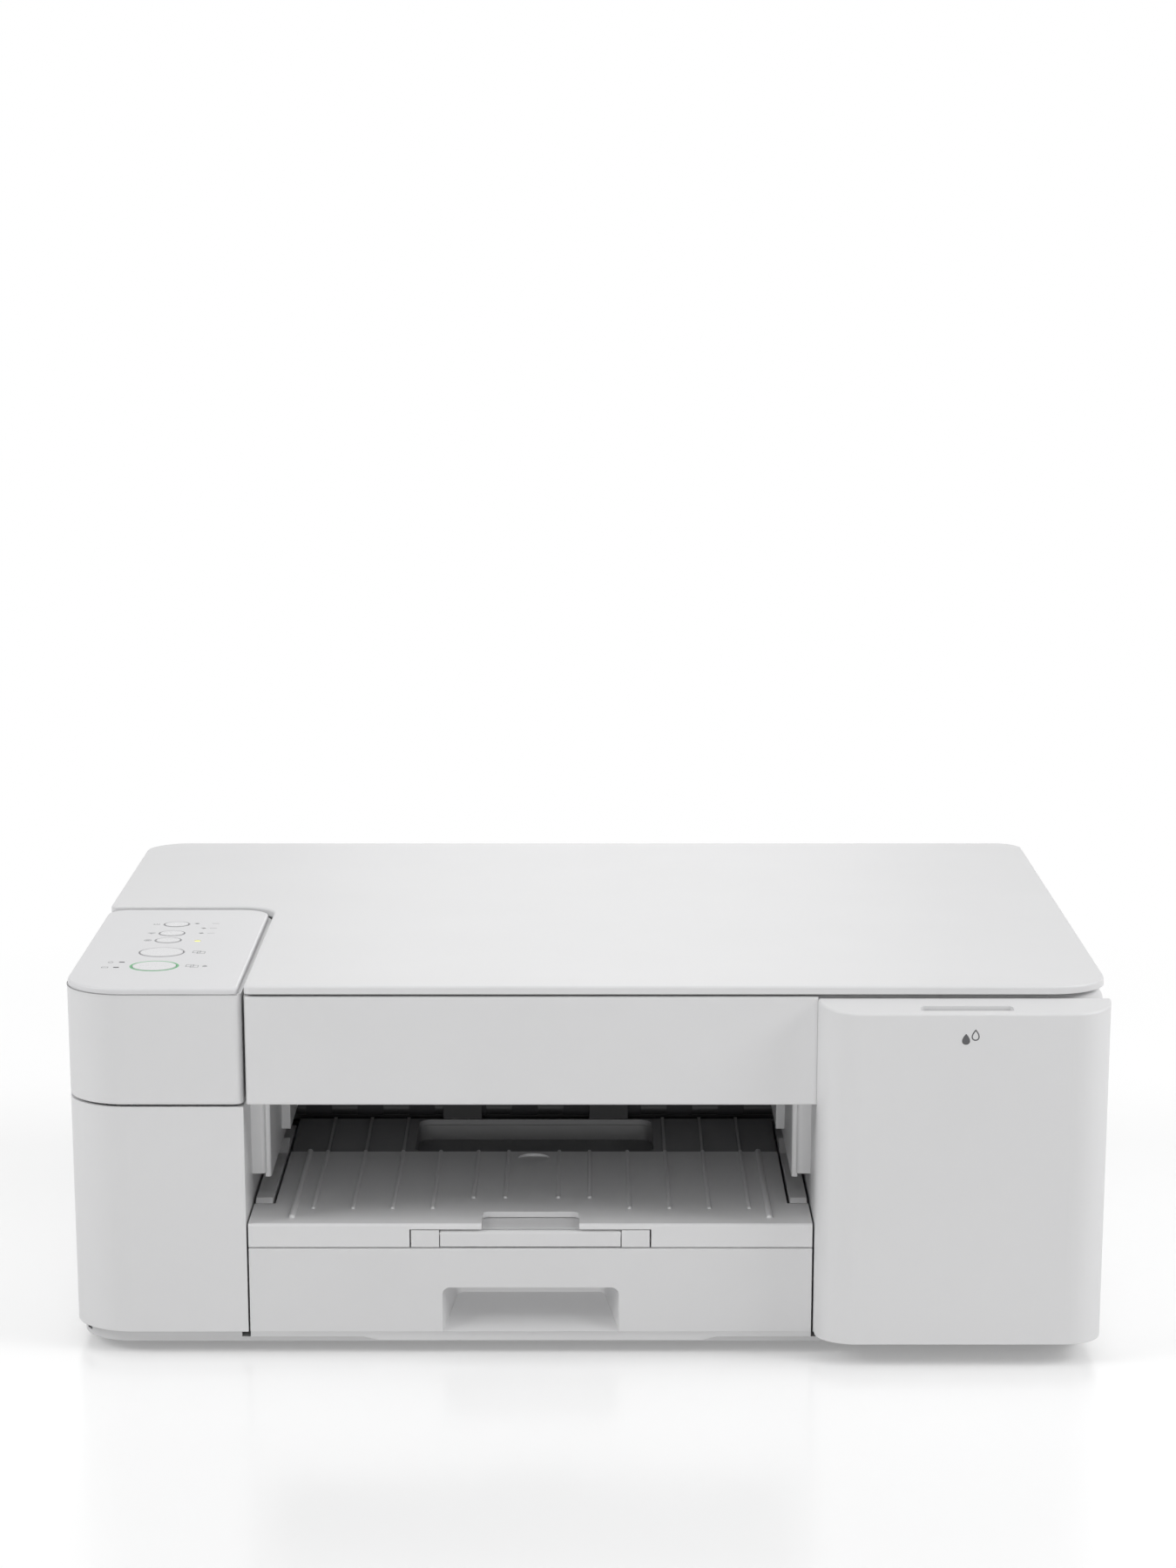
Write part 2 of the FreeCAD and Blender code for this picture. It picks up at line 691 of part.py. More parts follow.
def feed_path():
    """What the sheet runs over and under, and the station that the print head parks on."""
    inside = ("engine_left + sheet_metal", "engine_right - sheet_metal")
    platen = Piece("platen")
    platen.add((inside[0], "carriage_left - 2"), ("eject_y + 6", "feed_y - 8"),
               ("feed_height - 5", "feed_height + 3"))
    for k in range(11):
        middle = f"column_right + 20 + {k} * 20"
        platen.add((middle, f"{middle} + 2"), ("eject_y + 7", "feed_y - 9"),
                   ("feed_height + 2", "feed_height + 5.4"))
    for low in ("centre - 43", "centre + 25"):
        platen.add((low, f"{low} + 18"), ("deck_back + rub", "eject_y + 7"),
                   ("feed_height - 5", "feed_height - 2"))
        platen.add((low, f"{low} + 18"), ("deck_back + rub", "deck_back + rub + 1.8"),
                   ("feed_height - 5", "feed_height + 5"))
    station = Piece("maintenance_unit")
    station.add(("carriage_left + 4", "carriage_right"), ("eject_y + 10", "feed_y - 8"),
                ("floor_top", "feed_height - 2"))
    station.add(("carriage_left + 14", "carriage_right - 20"), ("eject_y + 14", "feed_y - 12"),
                ("feed_height - 2", "feed_height + 5.4"))
    star_bar = box(inside, ("eject_y - 5", "eject_y + 5"), ("feed_height + 15", "feed_height + 18"))
    wheels = [rod("x", (f"column_right + {o}", f"column_right + {o} + 1.5"),
                  ("eject_y", "feed_height + 11.5"), "5")
              for o in range(16, 231, 24)]
    fused("eject_star_wheels", star_bar, *wheels)
    pinch_bar = box(inside, ("feed_y - 3", "feed_y + 6"), ("feed_height + 12", "feed_height + 15"))
    rolls = [rod("x", (f"column_right + {o}", f"column_right + {o} + 22"), ("feed_y", "feed_height + 10.5"),
                 "4")
             for o in range(16, 201, 44)]
    fused("pinch_rollers", pinch_bar, *rolls)


def turning_shafts():
    """The feed and eject rollers with the gears that join them, and the motor's pinion."""
    across = math.degrees(math.atan2(value("idler_z - feed_height"), value("idler_y - feed_y")))
    upward = value("pinion_angle")
    step = 360 / 40
    first = across + round((upward - across) / step) * step - upward
    wide = ("gear_left", "gear_right")
    feed_rod = rod("x", ("gear_left - 2", "engine_right + 4"), ("feed_y", "feed_height"), "shaft_radius")
    feed_rubber = rod("x", ("column_right + roller_overhang", "bay_left - roller_overhang"),
                      ("feed_y", "feed_height"), "feed_radius")
    feed_gear = shaped(None, gear_solid(40, "x", wide, ("feed_y", "feed_height"), across,
                                        hole="shaft_radius"))
    fused("feed_roller", feed_rod, feed_rubber, feed_gear)
    eject_rod = rod("x", ("gear_left - 2", "engine_right + 4"), ("eject_y", "eject_z"), "shaft_radius")
    eject_rubber = rod("x", ("column_right + roller_overhang", "bay_left - roller_overhang"),
                       ("eject_y", "eject_z"), "eject_radius")
    eject_gear = shaped(None, gear_solid(16, "x", wide, ("eject_y", "eject_z"), across + 180,
                                         hole="shaft_radius"))
    fused("eject_roller", eject_rod, eject_rubber, eject_gear)
    idler_teeth, stud_radius, hub_radius = 24, 2.5, 8
    half_tooth = 180 / idler_teeth
    thick, along = value("gear_thick"), FreeCAD.Vector(1, 0, 0)
    spot = FreeCAD.Vector(value("gear_left"), value("idler_y"), value("idler_z"))
    idler = gear_solid(idler_teeth, "x", wide, ("idler_y", "idler_z"), across + 180 + half_tooth)
    idler = idler.fuse(Part.makeCylinder(hub_radius, thick, spot, along))
    bore_radius = stud_radius + value("shaft_clear")
    shaped("idler_gear", idler.cut(Part.makeCylinder(bore_radius, thick, spot, along)))
    pinion = gear_solid(12, "x", wide, ("pinion_gear_y", "pinion_gear_z"), upward + first + 180 + 15)
    stub = rod("x", ("gear_left - 1", "engine_left + 12"), ("pinion_gear_y", "pinion_gear_z"),
               "motor_shaft")
    hub = rod("x", wide, ("pinion_gear_y", "pinion_gear_z"), "3.2")
    fused("motor_pinion", shaped(None, pinion), stub, hub)
    can = rod("x", ("engine_left + sheet_metal", "engine_left + motor_length"),
              ("pinion_gear_y", "pinion_gear_z"), "feed_motor_radius")
    bore = rod("x", ("engine_left", "engine_left + 14"), ("pinion_gear_y", "pinion_gear_z"),
               "motor_shaft + shaft_clear")
    less("feed_motor", can, bore)


def carriage_drive():
    inside = ("engine_left + sheet_metal", "engine_right - sheet_metal")
    part("carriage_rail", box(inside, ("rail_y", "rail_y + 4"), ("feed_height + 22", "feed_height + 38")))
    belt = Piece("carriage_belt")
    ends = ("pulley_left", "pulley_right")
    width = ("belt_y - 2.5", "belt_y + 2.5")
    belt.add(ends, width, ("belt_z - pulley_radius - belt_thick", "belt_z + pulley_radius + belt_thick"))
    for end in ends:
        belt.rod("y", width, (end, "belt_z"), "pulley_radius + belt_thick")
    belt.cut(ends, width, ("belt_z - pulley_radius", "belt_z + pulley_radius"))
    for end in ends:
        belt.bore("y", width, (end, "belt_z"), "pulley_radius")
    drive = rod("y", width, ("pulley_left", "belt_z"), "pulley_radius - 0.1")
    stub = rod("y", ("belt_y", "engine_back + 12"), ("pulley_left", "belt_z"), "motor_shaft")
    fused("drive_pulley", drive, stub)
    less("idler_pulley", rod("y", width, ("pulley_right", "belt_z"), "pulley_radius - 0.1"),
         rod("y", ("belt_y - 4", "belt_y + 4"), ("pulley_right", "belt_z"), "2 + shaft_clear"))
    less("carriage_motor",
         rod("y", ("engine_back", "engine_back + motor_length"), ("pulley_left", "belt_z"),
             "belt_motor_radius"),
         rod("y", ("engine_back - 1", "engine_back + 14"), ("pulley_left", "belt_z"),
             "motor_shaft + shaft_clear"))
    block = Piece("print_carriage")
    block.add(("carriage_left", "carriage_right"), ("eject_y + 9", "feed_y - 5"),
              ("feed_height + 6.2", "feed_height + 40"))
    block.add(("carriage_left", "carriage_right"), ("feed_y - 8", "rail_y - 0.3"),
              ("feed_height + 19", "feed_height + 40"))
    block.add(("carriage_left", "carriage_right"), ("rail_y - 2", "belt_y + 2.5"),
              ("feed_height + 38.3", "feed_height + 40"))
    block.add(("carriage_left + 30", "carriage_left + 50"), ("belt_y - 2.3", "belt_y + 2.3"),
              ("belt_z + pulley_radius + belt_thick + 0.1", "feed_height + 39"))


def pickup():
    """The arm that swings the pick-up roller down onto the stack, on the frame's own shaft."""
    arm = Piece("pickup_arm")
    arm.rod("x", ("centre - 16", "centre + 16"), ("pivot_y", "pivot_z"), "shaft_radius + 3")
    arm.prism("x", ("centre - 16", "centre + 16"), [
        ("pivot_y", "pivot_z - 5"), ("pickup_y - 12", "pickup_z - 3"), ("pickup_y - 12", "pickup_z + 5"),
        ("pivot_y", "pivot_z + 5")])
    for low in ("centre - 16", "centre + 13"):
        arm.add((low, f"{low} + 3"), ("pickup_y - 13", "pickup_y + 4"), ("pickup_z - 4", "pickup_z + 4"))
    arm.rod("x", ("centre - 14", "centre + 14"), ("pickup_y", "pickup_z"), "2.5")
    arm.bore("x", ("centre - 17", "centre + 17"), ("pivot_y", "pivot_z"), "shaft_radius + shaft_clear")
    less("pickup_roller", rod("x", ("centre - 12.4", "centre + 12.4"), ("pickup_y", "pickup_z"),
                              "pickup_radius"),
         rod("x", ("centre - 14", "centre + 14"), ("pickup_y", "pickup_z"), "2.5 + shaft_clear"))


# ---------------------------------------------------------------- ink

INKS = ("black", "yellow", "cyan", "magenta")


def ink_slots():
    """Each ink's name and the low and high X of its slot, from left to right."""
    slots, low = [], "holder_left + slot_wall"
    for ink in INKS:
        width = "slot_black" if ink == "black" else "slot_colour"
        slots.append((ink, low, f"{low} + {width} + 2 * slot_clear"))
        low = f"{low} + {width} + 2 * slot_clear + slot_wall"
    return slots


def ink_supply():
    top = "holder_bottom + slot_wall + cartridge_height + slot_clear + 2"
    holder = Piece("cartridge_holder")
    holder.add(("holder_left", "holder_left + holder_width"), ("holder_front", "holder_back"),
               ("floor_top", top))
    for ink, low, high in ink_slots():
        holder.cut((low, high), ("holder_front - 1", "holder_back - 8"),
                   ("holder_bottom + slot_wall",
                    "holder_bottom + slot_wall + cartridge_height + slot_clear"))
    holder.cut(("holder_left - 1", "holder_left + holder_width + 1"),
               ("holder_front + 12", "holder_back - 12"),
               ("floor_top", "holder_bottom"))
    for ink, low, high in ink_slots():
        body = Piece(f"cartridge_{ink}")
        body.add((f"{low} + slot_clear", f"{high} - slot_clear"), ("holder_front - 3", "holder_back - 16"),
                 ("holder_bottom + slot_wall", "holder_bottom + slot_wall + cartridge_height"))
        body.cut((f"{low} + slot_clear", f"{high} - slot_clear"), ("holder_front - 3", "holder_front - 1"),
                 ("holder_bottom + slot_wall + cartridge_height - 20",
                  "holder_bottom + slot_wall + cartridge_height"))
        body.rod("y", ("holder_back - 17", "holder_back - 8"),
                 (f"({low} + {high}) / 2", "holder_bottom + slot_wall + 12"), "3")
    tubes = []
    for k, (ink, low, high) in enumerate(ink_slots()):
        tubes.append(rod("y", ("holder_back", "engine_front - 2"), (f"({low} + {high}) / 2", f"{top} - 6"),
                         "1.6"))
    lane = box(("holder_left + 6", "holder_left + holder_width - 8"),
               ("engine_front - 5.5", "engine_front - 0.3"),
               (f"{top} - 9", f"{top} - 3"))
    fused("ink_tubes", lane, *tubes)


def ink_cover():
    def profile(label, x, front_y, back_y, low, high, corner):
        made = Piece(label, tool=True)
        made.prism("x", x, [(front_y, low), (back_y, low), (back_y, high),
                            (front_y, f"{high} - cover_slope")])
        return made.round(corner, along="z", x=x, y=front_y)

    outer = profile("ink_cover_outside", ("bay_left", "right"), "cover_front", "front - seam / 2",
                    "case_bottom", "cover_top", "cover_corner")
    outer.round("cover_bottom_round", along="x", y="front - seam / 2", z="case_bottom")
    outer.round("edge_round", inside={"y": ("cover_front - 0.1", "front - seam / 2 - 0.1"),
                                      "z": ("cover_top - cover_slope - 0.1", "cover_top + 0.1")})
    inner = profile("ink_cover_inside", ("bay_in", "right - wall"), "cover_front + wall", "front + 1",
                    "case_bottom + wall", "cover_top - wall", "cover_corner - wall")
    lugs = [box((f"{low} - 0.6", f"{low} + 4.6"), ("cover_pivot_y - 6", "front + 1"),
                ("case_bottom - 1", "case_bottom + wall + 1")) for low in ("bay_left + 12", "right - 16")]
    finger = Piece("finger_slot", tool=True)
    ends = ("bay_left + finger_from_left", "bay_left + finger_from_left + finger_width")
    finger.add(ends, ("cover_front + 4", "cover_front + 9"),
               ("cover_top - cover_slope - 0.6", "cover_top + 1"))
    finger.round("2", along="z", x=ends, y="cover_front + 9")
    shell = less(None, outer.body, inner.body, finger.body, *lugs)
    ears = [box((low, f"{low} + 4"), ("cover_front + wall - 0.5", "cover_pivot_y + 4"),
                ("cover_pivot_z - 4", "cover_pivot_z + 4")) for low in ("bay_left + 16.4", "right - 20.4")]
    bores = [rod("x", (f"{low} - 1", f"{low} + 5"), ("cover_pivot_y", "cover_pivot_z"),
                 "cover_pin + shaft_clear")
             for low in ("bay_left + 16.4", "right - 20.4")]
    less("ink_cover", fused(None, shell, *ears), *bores)


# ---------------------------------------------------------------- scanner unit and lid

def scanner_case():
    radii = ("", "corner_front - 2", "corner_back_left", "corner_back_right")
    outer = rounded_box("case_outside", ("left", "right"), ("front", "back"), ("unit_bottom", "unit_top"),
                        radii, tool=True)
    outer.round("hinge_inset", along="x", y="back", z=("unit_bottom", "unit_top"))
    inner = rounded_box("case_inside", ("left + wall", "right - wall"),
                        ("front + wall + 3", "back - wall - 9"),
                        ("unit_bottom + wall", "unit_top - glass_thick - 1.8"),
                        ("", "corner_front - 2 - wall", "corner_back_left - wall",
                         "corner_back_right - wall"), tool=True)
    corner = box(("left - 1", "column_right + 1"), ("front - 1", "panel_back + rub"),
                 ("unit_bottom - 1", "unit_top + 1"))
    face = box(("column_right", "bay_left + 0.4"), ("front - 1", "front + wall + rub"),
               ("unit_bottom - 1", "unit_top + 1"))
    pane = box(("glass_left", "glass_left + glass_width"), ("glass_front", "glass_back"),
               ("unit_top - glass_thick", "unit_top + 1"))
    window = box(("glass_left + 6", "glass_left + glass_width - 6"), ("glass_front + 6", "glass_back - 6"),
                 ("unit_top - glass_thick - 3", "unit_top"))
    slots, bores = [], []
    for m in hinge_middles():
        slots.append(box((f"{m} - 6.6", f"{m} + 6.6"), ("unit_hinge_y - 8", "back + 1"),
                         ("unit_bottom - 1", "unit_hinge_z + 5.5")))
        bores.append(rod("x", (f"{m} - 11", f"{m} + 11"), ("unit_hinge_y", "unit_hinge_z"),
                         "unit_pin + shaft_clear"))
    for m in lid_middles():
        slots.append(box((f"{m} - 5.6", f"{m} + 5.6"), ("unit_hinge_y - 6", "back + 1"),
                         ("lid_hinge_z - 6", "unit_top + 1")))
        bores.append(rod("x", (f"{m} - 10", f"{m} + 10"), ("unit_hinge_y", "lid_hinge_z"), "lid_pin"))
    side_wall = box(("column_right + 1", "column_right + 1 + wall"),
                    ("front + wall + rub", "panel_back + rub + wall"),
                    ("unit_bottom", "unit_top"))
    back_wall = box(("left + 0.5", "column_right + 1 + wall"),
                    ("panel_back + rub", "panel_back + rub + wall"),
                    ("unit_bottom", "unit_top"))
    body = less(None, outer.body, inner.body, corner, face, pane, window)
    less("scanner_case", fused(None, body, side_wall, back_wall), *slots, *bores)


def hinge_pins():
    group("unit_hinge_pins", *[rod("x", (f"{m} - 10", f"{m} + 10"), ("unit_hinge_y", "unit_hinge_z"),
                                   "unit_pin")
                               for m in hinge_middles()])
    group("lid_hinge_pins", *[rod("x", (f"{m} - 9", f"{m} + 9"), ("unit_hinge_y", "lid_hinge_z"), "lid_pin")
                              for m in lid_middles()])


def scanner_inside():
    part("scan_glass", box(("glass_left", "glass_left + glass_width"), ("glass_front", "glass_back"),
                           ("unit_top - glass_thick", "unit_top")))
    middle = "(glass_front + glass_back) / 2"
    part("cis_rail", box(("column_right + 4", "right - wall"), (f"{middle} - 5", f"{middle} + 5"),
                         ("unit_bottom + wall", "unit_top - 24")))
    bar = Piece("cis_bar")
    bar.add(("glass_left - 4", "glass_left + 14"), ("glass_front + 8", "glass_back - 8"),
            ("unit_top - 20", "unit_top - 5"))
    bar.cut(("glass_left - 5", "glass_left + 15"), (f"{middle} - 5.3", f"{middle} + 5.3"),
            ("unit_top - 21", "unit_top - 17"))
    bar.add(("glass_left - 4", "glass_left + 14"), (f"{middle} + 5.3", f"{middle} + 8.3"),
            ("unit_top - 28", "unit_top - 19"))
    bar.add(("glass_left - 4", "glass_left + 14"), (f"{middle} - 8.3", f"{middle} - 5.3"),
            ("unit_top - 28", "unit_top - 19"))


def front_fascia():
    fascia = Piece("front_fascia")
    fascia.add(("fascia_left", "fascia_right"), ("front", "front + wall"), ("unit_bottom", "unit_top"))
    fascia.round("edge_round", along="x", y="front", z=("unit_bottom", "unit_top"))


def panel_outline(label, x, z, inset, tool=False):
    """The panel's plan: large rounding at the printer's front left corner, smaller at the others."""
    return rounded_box(label, x, (f"front + {inset}", f"panel_back - {inset}"), z,
                       (f"corner_front - {inset}", f"4 - {inset}" if inset == "0" else "2",
                        f"10 - {inset}", f"panel_corner - {inset}"), tool=tool)


def control_panel():
    outer = panel_outline("panel_outside", ("left", "column_right"), ("unit_bottom", "plate_bottom"), "0",
                          tool=True)
    outer.round("edge_round", along="x", y="front", z="unit_bottom")
    inner = panel_outline("panel_inside", ("left + wall", "column_right - wall"),
                          ("unit_bottom - 1", "plate_bottom + 1"), "wall", tool=True)
    shelf = box(("left + wall - 0.5", "column_right - wall + 0.5"),
                ("front + 30", "panel_back - wall + 0.5"),
                ("plate_bottom - 12", "plate_bottom - 10"))
    fused("panel_block", less(None, outer.body, inner.body), shelf)
    plate = panel_outline("panel_surface", ("left + 0.3", "panel_right"), ("plate_bottom", "panel_top_z"),
                          "0", tool=True)
    plate.round("edge_round", z="panel_top_z")
    holes = [rod("z", ("plate_bottom - 1", "panel_top_z + 1"), ("button_x", y), f"{size} / 2 + button_gap")
             for name, y, size in buttons()]
    lamps = [rod("z", ("plate_bottom - 1", "panel_top_z + 1"), (x, y), r) for x, y, r in lights()]
    less("panel_plate", plate.body, *holes, *lamps)
    part("panel_board", box(("left + 8", "panel_right - 6"), ("front + 34", "panel_back - 8"),
                            ("plate_bottom - 10", "plate_bottom - 8.4")))
    group("indicator_lights", *[rod("z", ("plate_bottom - 8.4", "panel_top_z - 0.3"), (x, y), f"{r} - 0.1")
                                for x, y, r in lights()])
    for name, y, size in buttons():
        head = rod("z", ("plate_bottom - 4", "panel_top_z + button_proud"), ("button_x", y), f"{size} / 2")
        skirt = rod("z", ("plate_bottom - 4", "plate_bottom - 2.4"), ("button_x", y), f"{size} / 2 + 1.2")
        stem = rod("z", ("plate_bottom - 8.4 + button_travel + 0.15", "plate_bottom - 4"), ("button_x", y),
                   "2")
        fused(name, head, skirt, stem)


def buttons():
    """Name, Y and diameter of each button, from the back to the front."""
    return (("power_button", "panel_back - 35", "button_small"),
            ("wifi_button", "panel_back - 55.5", "button_small"),
            ("stop_button", "panel_back - 71", "button_small"),
            ("mono_copy_button", "panel_back - 97", "button_large"),
            ("colour_copy_button", "panel_back - 126", "button_large"))


def lights():
    """X, Y and radius of each indicator light beside the buttons."""
    return (("button_x + 9", "panel_back - 33", "1.1"), ("button_x + 13", "panel_back - 44", "1.1"),
            ("button_x + 13", "panel_back - 55", "1.1"), ("button_x + 13", "panel_back - 72", "1.6"))


def lid():
    outer = rounded_box("lid_outside", ("left", "right"), ("front", "back"),
                        ("lid_bottom", "overall_height"),
                        ("", "corner_front - 2", "corner_back_left", "corner_back_right"), tool=True)
    outer.cut(("left - 1", "panel_right + panel_gap"), ("front - 1", "panel_back + panel_gap"),
              ("lid_bottom - 1", "overall_height + 1"))
    outer.round("panel_corner + panel_gap", along="z", x="panel_right + panel_gap",
                y="panel_back + panel_gap")
    outer.round("3", along="z", x="panel_right + panel_gap", y="front")
    outer.round("3", along="z", x="left", y="panel_back + panel_gap")
    outer.round("edge_round", z="overall_height")
    arms = []
    for m in lid_middles():
        arms.append(box((f"{m} - 5", f"{m} + 5"), ("unit_hinge_y - 3.5", "unit_hinge_y + 3.5"),
                        ("lid_hinge_z", "lid_bottom + 0.5")))
        arms.append(rod("x", (f"{m} - 5", f"{m} + 5"), ("unit_hinge_y", "lid_hinge_z"), "3.5"))
    bores = [rod("x", (f"{m} - 6", f"{m} + 6"), ("unit_hinge_y", "lid_hinge_z"), "lid_pin + shaft_clear")
             for m in lid_middles()]
    less("lid_cover", fused(None, outer.body, *arms), *bores)
    part("lid_pad", box(("glass_left + 2", "glass_left + glass_width - 2"),
                        ("glass_front + 2", "glass_back - 2"),
                        ("lid_bottom - 0.7", "lid_bottom")))


# ---------------------------------------------------------------- paper tray

def tray():
    body = Piece("tray_box")
    body.add(("box_left", "box_right"), ("front + 3.2", "tray_back"), ("floor_top + rub", "box_floor"))
    for low in ("box_left", "box_right - wall"):
        body.add((low, f"{low} + wall"), ("front + 3.2", "cheek_back"), ("floor_top + rub", "rail_bottom"))
        body.add((low, f"{low} + wall"), ("front + 3.2", "tray_back"),
                 ("floor_top + rub", "box_floor + 12"))
    body.add(("box_left", "box_right"), ("tray_back - wall", "tray_back"),
             ("floor_top + rub", "box_floor + 10"))
    for span in (("tray_left + 0.5", "deck_left - 1.2"), ("deck_right + 1.2", "tray_right - 0.5")):
        body.prism("x", span, [
            ("cheek_front", "rail_bottom"), ("cheek_back", "rail_bottom"),
            ("cheek_back", "deck_height - 0.5"), ("cheek_front + 98", "deck_height - 0.5"),
            ("cheek_front + 98", "deck_height + 3.5"), ("cheek_front + 86", "deck_height - 0.5"),
            ("cheek_front + 60", "deck_height - 0.5"), ("cheek_front + 60", "deck_height + 1.5"),
            ("cheek_front + 3", "deck_height + 1.5"), ("cheek_front", "deck_height")])
    body.cut(("centre - handle_width / 2 - 3.4", "centre + handle_width / 2 + 3.4"),
             ("front", "front + handle_depth + 3.4"),
             ("floor_top", "handle_top + 3.4"))
    body.rod("z", ("box_floor - 0.5", "box_floor + 3.4"), ("centre", "pinion_y"), "2")

    near = ("centre - handle_width / 2", "centre + handle_width / 2")
    far = (f"{near[0]} + handle_taper", f"{near[1]} - handle_taper")
    face = Piece("tray_front")
    face.add(("tray_left", "tray_right"), ("front", "front + 2.9"), ("case_bottom", "tray_seam"))
    face.prism("y", ("front + lip_setback", "front + 2.9"), [
        ("tray_left", "foot_height + 2.6"), ("tray_left + 48", "foot_height + 2.6"),
        ("tray_left + 54", "foot_height + 1"), ("tray_right - 46", "foot_height + 1"),
        ("tray_right - 40", "foot_height + 2.6"), ("tray_right", "foot_height + 2.6"),
        ("tray_right", "case_bottom + 1"), ("tray_left", "case_bottom + 1")])
    face.add((f"{near[0]} - 3", f"{near[1]} + 3"), ("front + lip_setback", "front + handle_depth + 3"),
             ("floor_top + rub", "handle_top + 3"))
    face.hollow_wedge(("front", "front + handle_depth"), near, ("case_bottom", "handle_top"),
                      far, ("handle_top - 8", "handle_top"))
    for low_x, high_x in ((near[0], far[0]), (far[1], near[1])):
        face.round("3", inside={"x": (low_x, high_x), "y": ("front", "front + handle_depth"),
                                "z": ("handle_top - 8", "handle_top")})
    face.round("edge_round", along="x", y="front", z="tray_seam")


def band(line, below, above):
    """A strip along a sloping line of two points, that much below and above it."""
    (y_low, z_low), (y_high, z_high) = line
    return [(y_low, f"{z_low} - {below}"), (y_high, f"{z_high} - {below}"),
            (y_high, f"{z_high} + {above}"), (y_low, f"{z_low} + {above}")]


def output_deck():
    deck = Piece("deck_panel", tool=True)
    under, top = "deck_height - deck_thick", "deck_height"
    deck.add(("tray_left", "tray_right"), ("front", "front + deck_front + 5"), (under, top))
    deck.add(("tray_left", "tray_right"), ("front", "front + 2.9"), ("tray_seam + 0.4", top))
    deck.add(("deck_left", "deck_right"), ("front + 2", "front + deck_step"), (under, top))
    slope = (("front + deck_step - 0.5", "deck_height - deck_drop"),
             ("deck_back", "deck_height - deck_drop + deck_rise"))
    deck.prism("x", ("deck_left", "deck_right"), band(slope, "deck_thick", "0"))
    for side in ("centre - support_width / 2 - 3.1", "centre + support_width / 2 + 0.6"):
        deck.add((side, f"{side} + 2.5"), ("front", "front + support_length + 4"),
                 ("tray_seam + 0.4", under))
    deck.add(("centre - support_width / 2 - 3.1", "centre + support_width / 2 + 3.1"),
             ("front + 14", "front + support_length + 4"), ("support_bottom - 1.9", "support_bottom - rub"))
    deck.cut(("centre - support_width / 2 - 0.6", "centre + support_width / 2 + 0.6"),
             ("front - 1", "front + 4"),
             ("tray_seam", under))
    grip = ("centre - grip_width / 2", "centre + grip_width / 2")
    deck.cut(grip, ("front", "front + grip_depth"), (under, top))
    deck.round("3", along="z", x=grip, y="front + grip_depth")
    deck.dish("centre", "front + deck_step - 11", "deck_height - 0.7", "thumb_radius", 4.5)
    deck.round("1.2", along="x", y="front", z="deck_height")
    tub = rounded_box("well_outside", ("well_left - 1.6", "well_right + 1.6"),
                      ("front + deck_step + 1.4", "deck_back"),
                      ("deck_height - well_drop - 1.6", "deck_height - deck_drop - 0.2"), ("7",
                                                                                           ) * 4, tool=True)
    well = rounded_box("well_inside", ("well_left", "well_right"),
                       ("front + deck_step + 3", "deck_back - 1.6"),
                       ("deck_height - well_drop", "deck_height + deck_rise"), ("6",) * 4, tool=True)
    less("output_deck", fused(None, deck.body, tub.body, *deck_ribs(slope)), well.body)


def deck_ribs(slope):
    """Round-ended ribs on the front of the deck, and the longer ones that run on along its back half."""
    ribs = []
    runs_on = Piece("back_ribs", several=True, tool=True)
    for sign in ("-", "+"):
        for offset, start, size in ((101, 10, 1.5), (93, 24, 1), (76, 24, 1), (59, 24, 1), (42, 24, 1),
                                    (25, 41, 1), (11.4, 41, 1)):
            middle, low, radius = f"centre {sign} {offset}", f"front + {start}", f"rib_radius * {size}"
            ribs.append(rod("y", (low, "front + deck_step - 0.8"), (middle, "deck_height"), radius))
            ribs.append(ball(middle, low, "deck_height", radius))
            if offset in (93, 76, 59):
                runs_on.prism("x", (f"{middle} - 0.8", f"{middle} + 0.8"), band(slope, "0.3", "0.7"))
    return ribs + [runs_on.body]


def paper_support():
    half = "support_width / 2"
    body = Piece("paper_support")
    body.add((f"centre - {half}", f"centre + {half}"), ("front", "front + support_length"),
             ("support_bottom", "support_top"))
    body.cut(("centre - flap_width / 2 - 0.4", "centre + flap_width / 2 + 0.4"), ("front", "front + 3.6"),
             ("support_bottom", "support_top"))
    for low in ("centre - flap_width / 2 - 3.4", "centre + flap_width / 2 + 0.4"):
        body.bore("x", (low, f"{low} + 3"), ("front + 1.5", "support_top - 1.8"), "0.8 + shaft_clear")
    flap = Piece("support_flap")
    flap.add(("centre - flap_width / 2", "centre + flap_width / 2"), ("front", "front + 3"),
             ("support_bottom + 0.2", "support_top - 0.3"))
    flap.round("1.4", along="x", y=("front", "front + 3"), z="support_top - 0.3")
    flap.rod("x", ("centre - flap_width / 2 - 3", "centre + flap_width / 2 + 3"),
             ("front + 1.5", "support_top - 1.8"),
             "0.8")


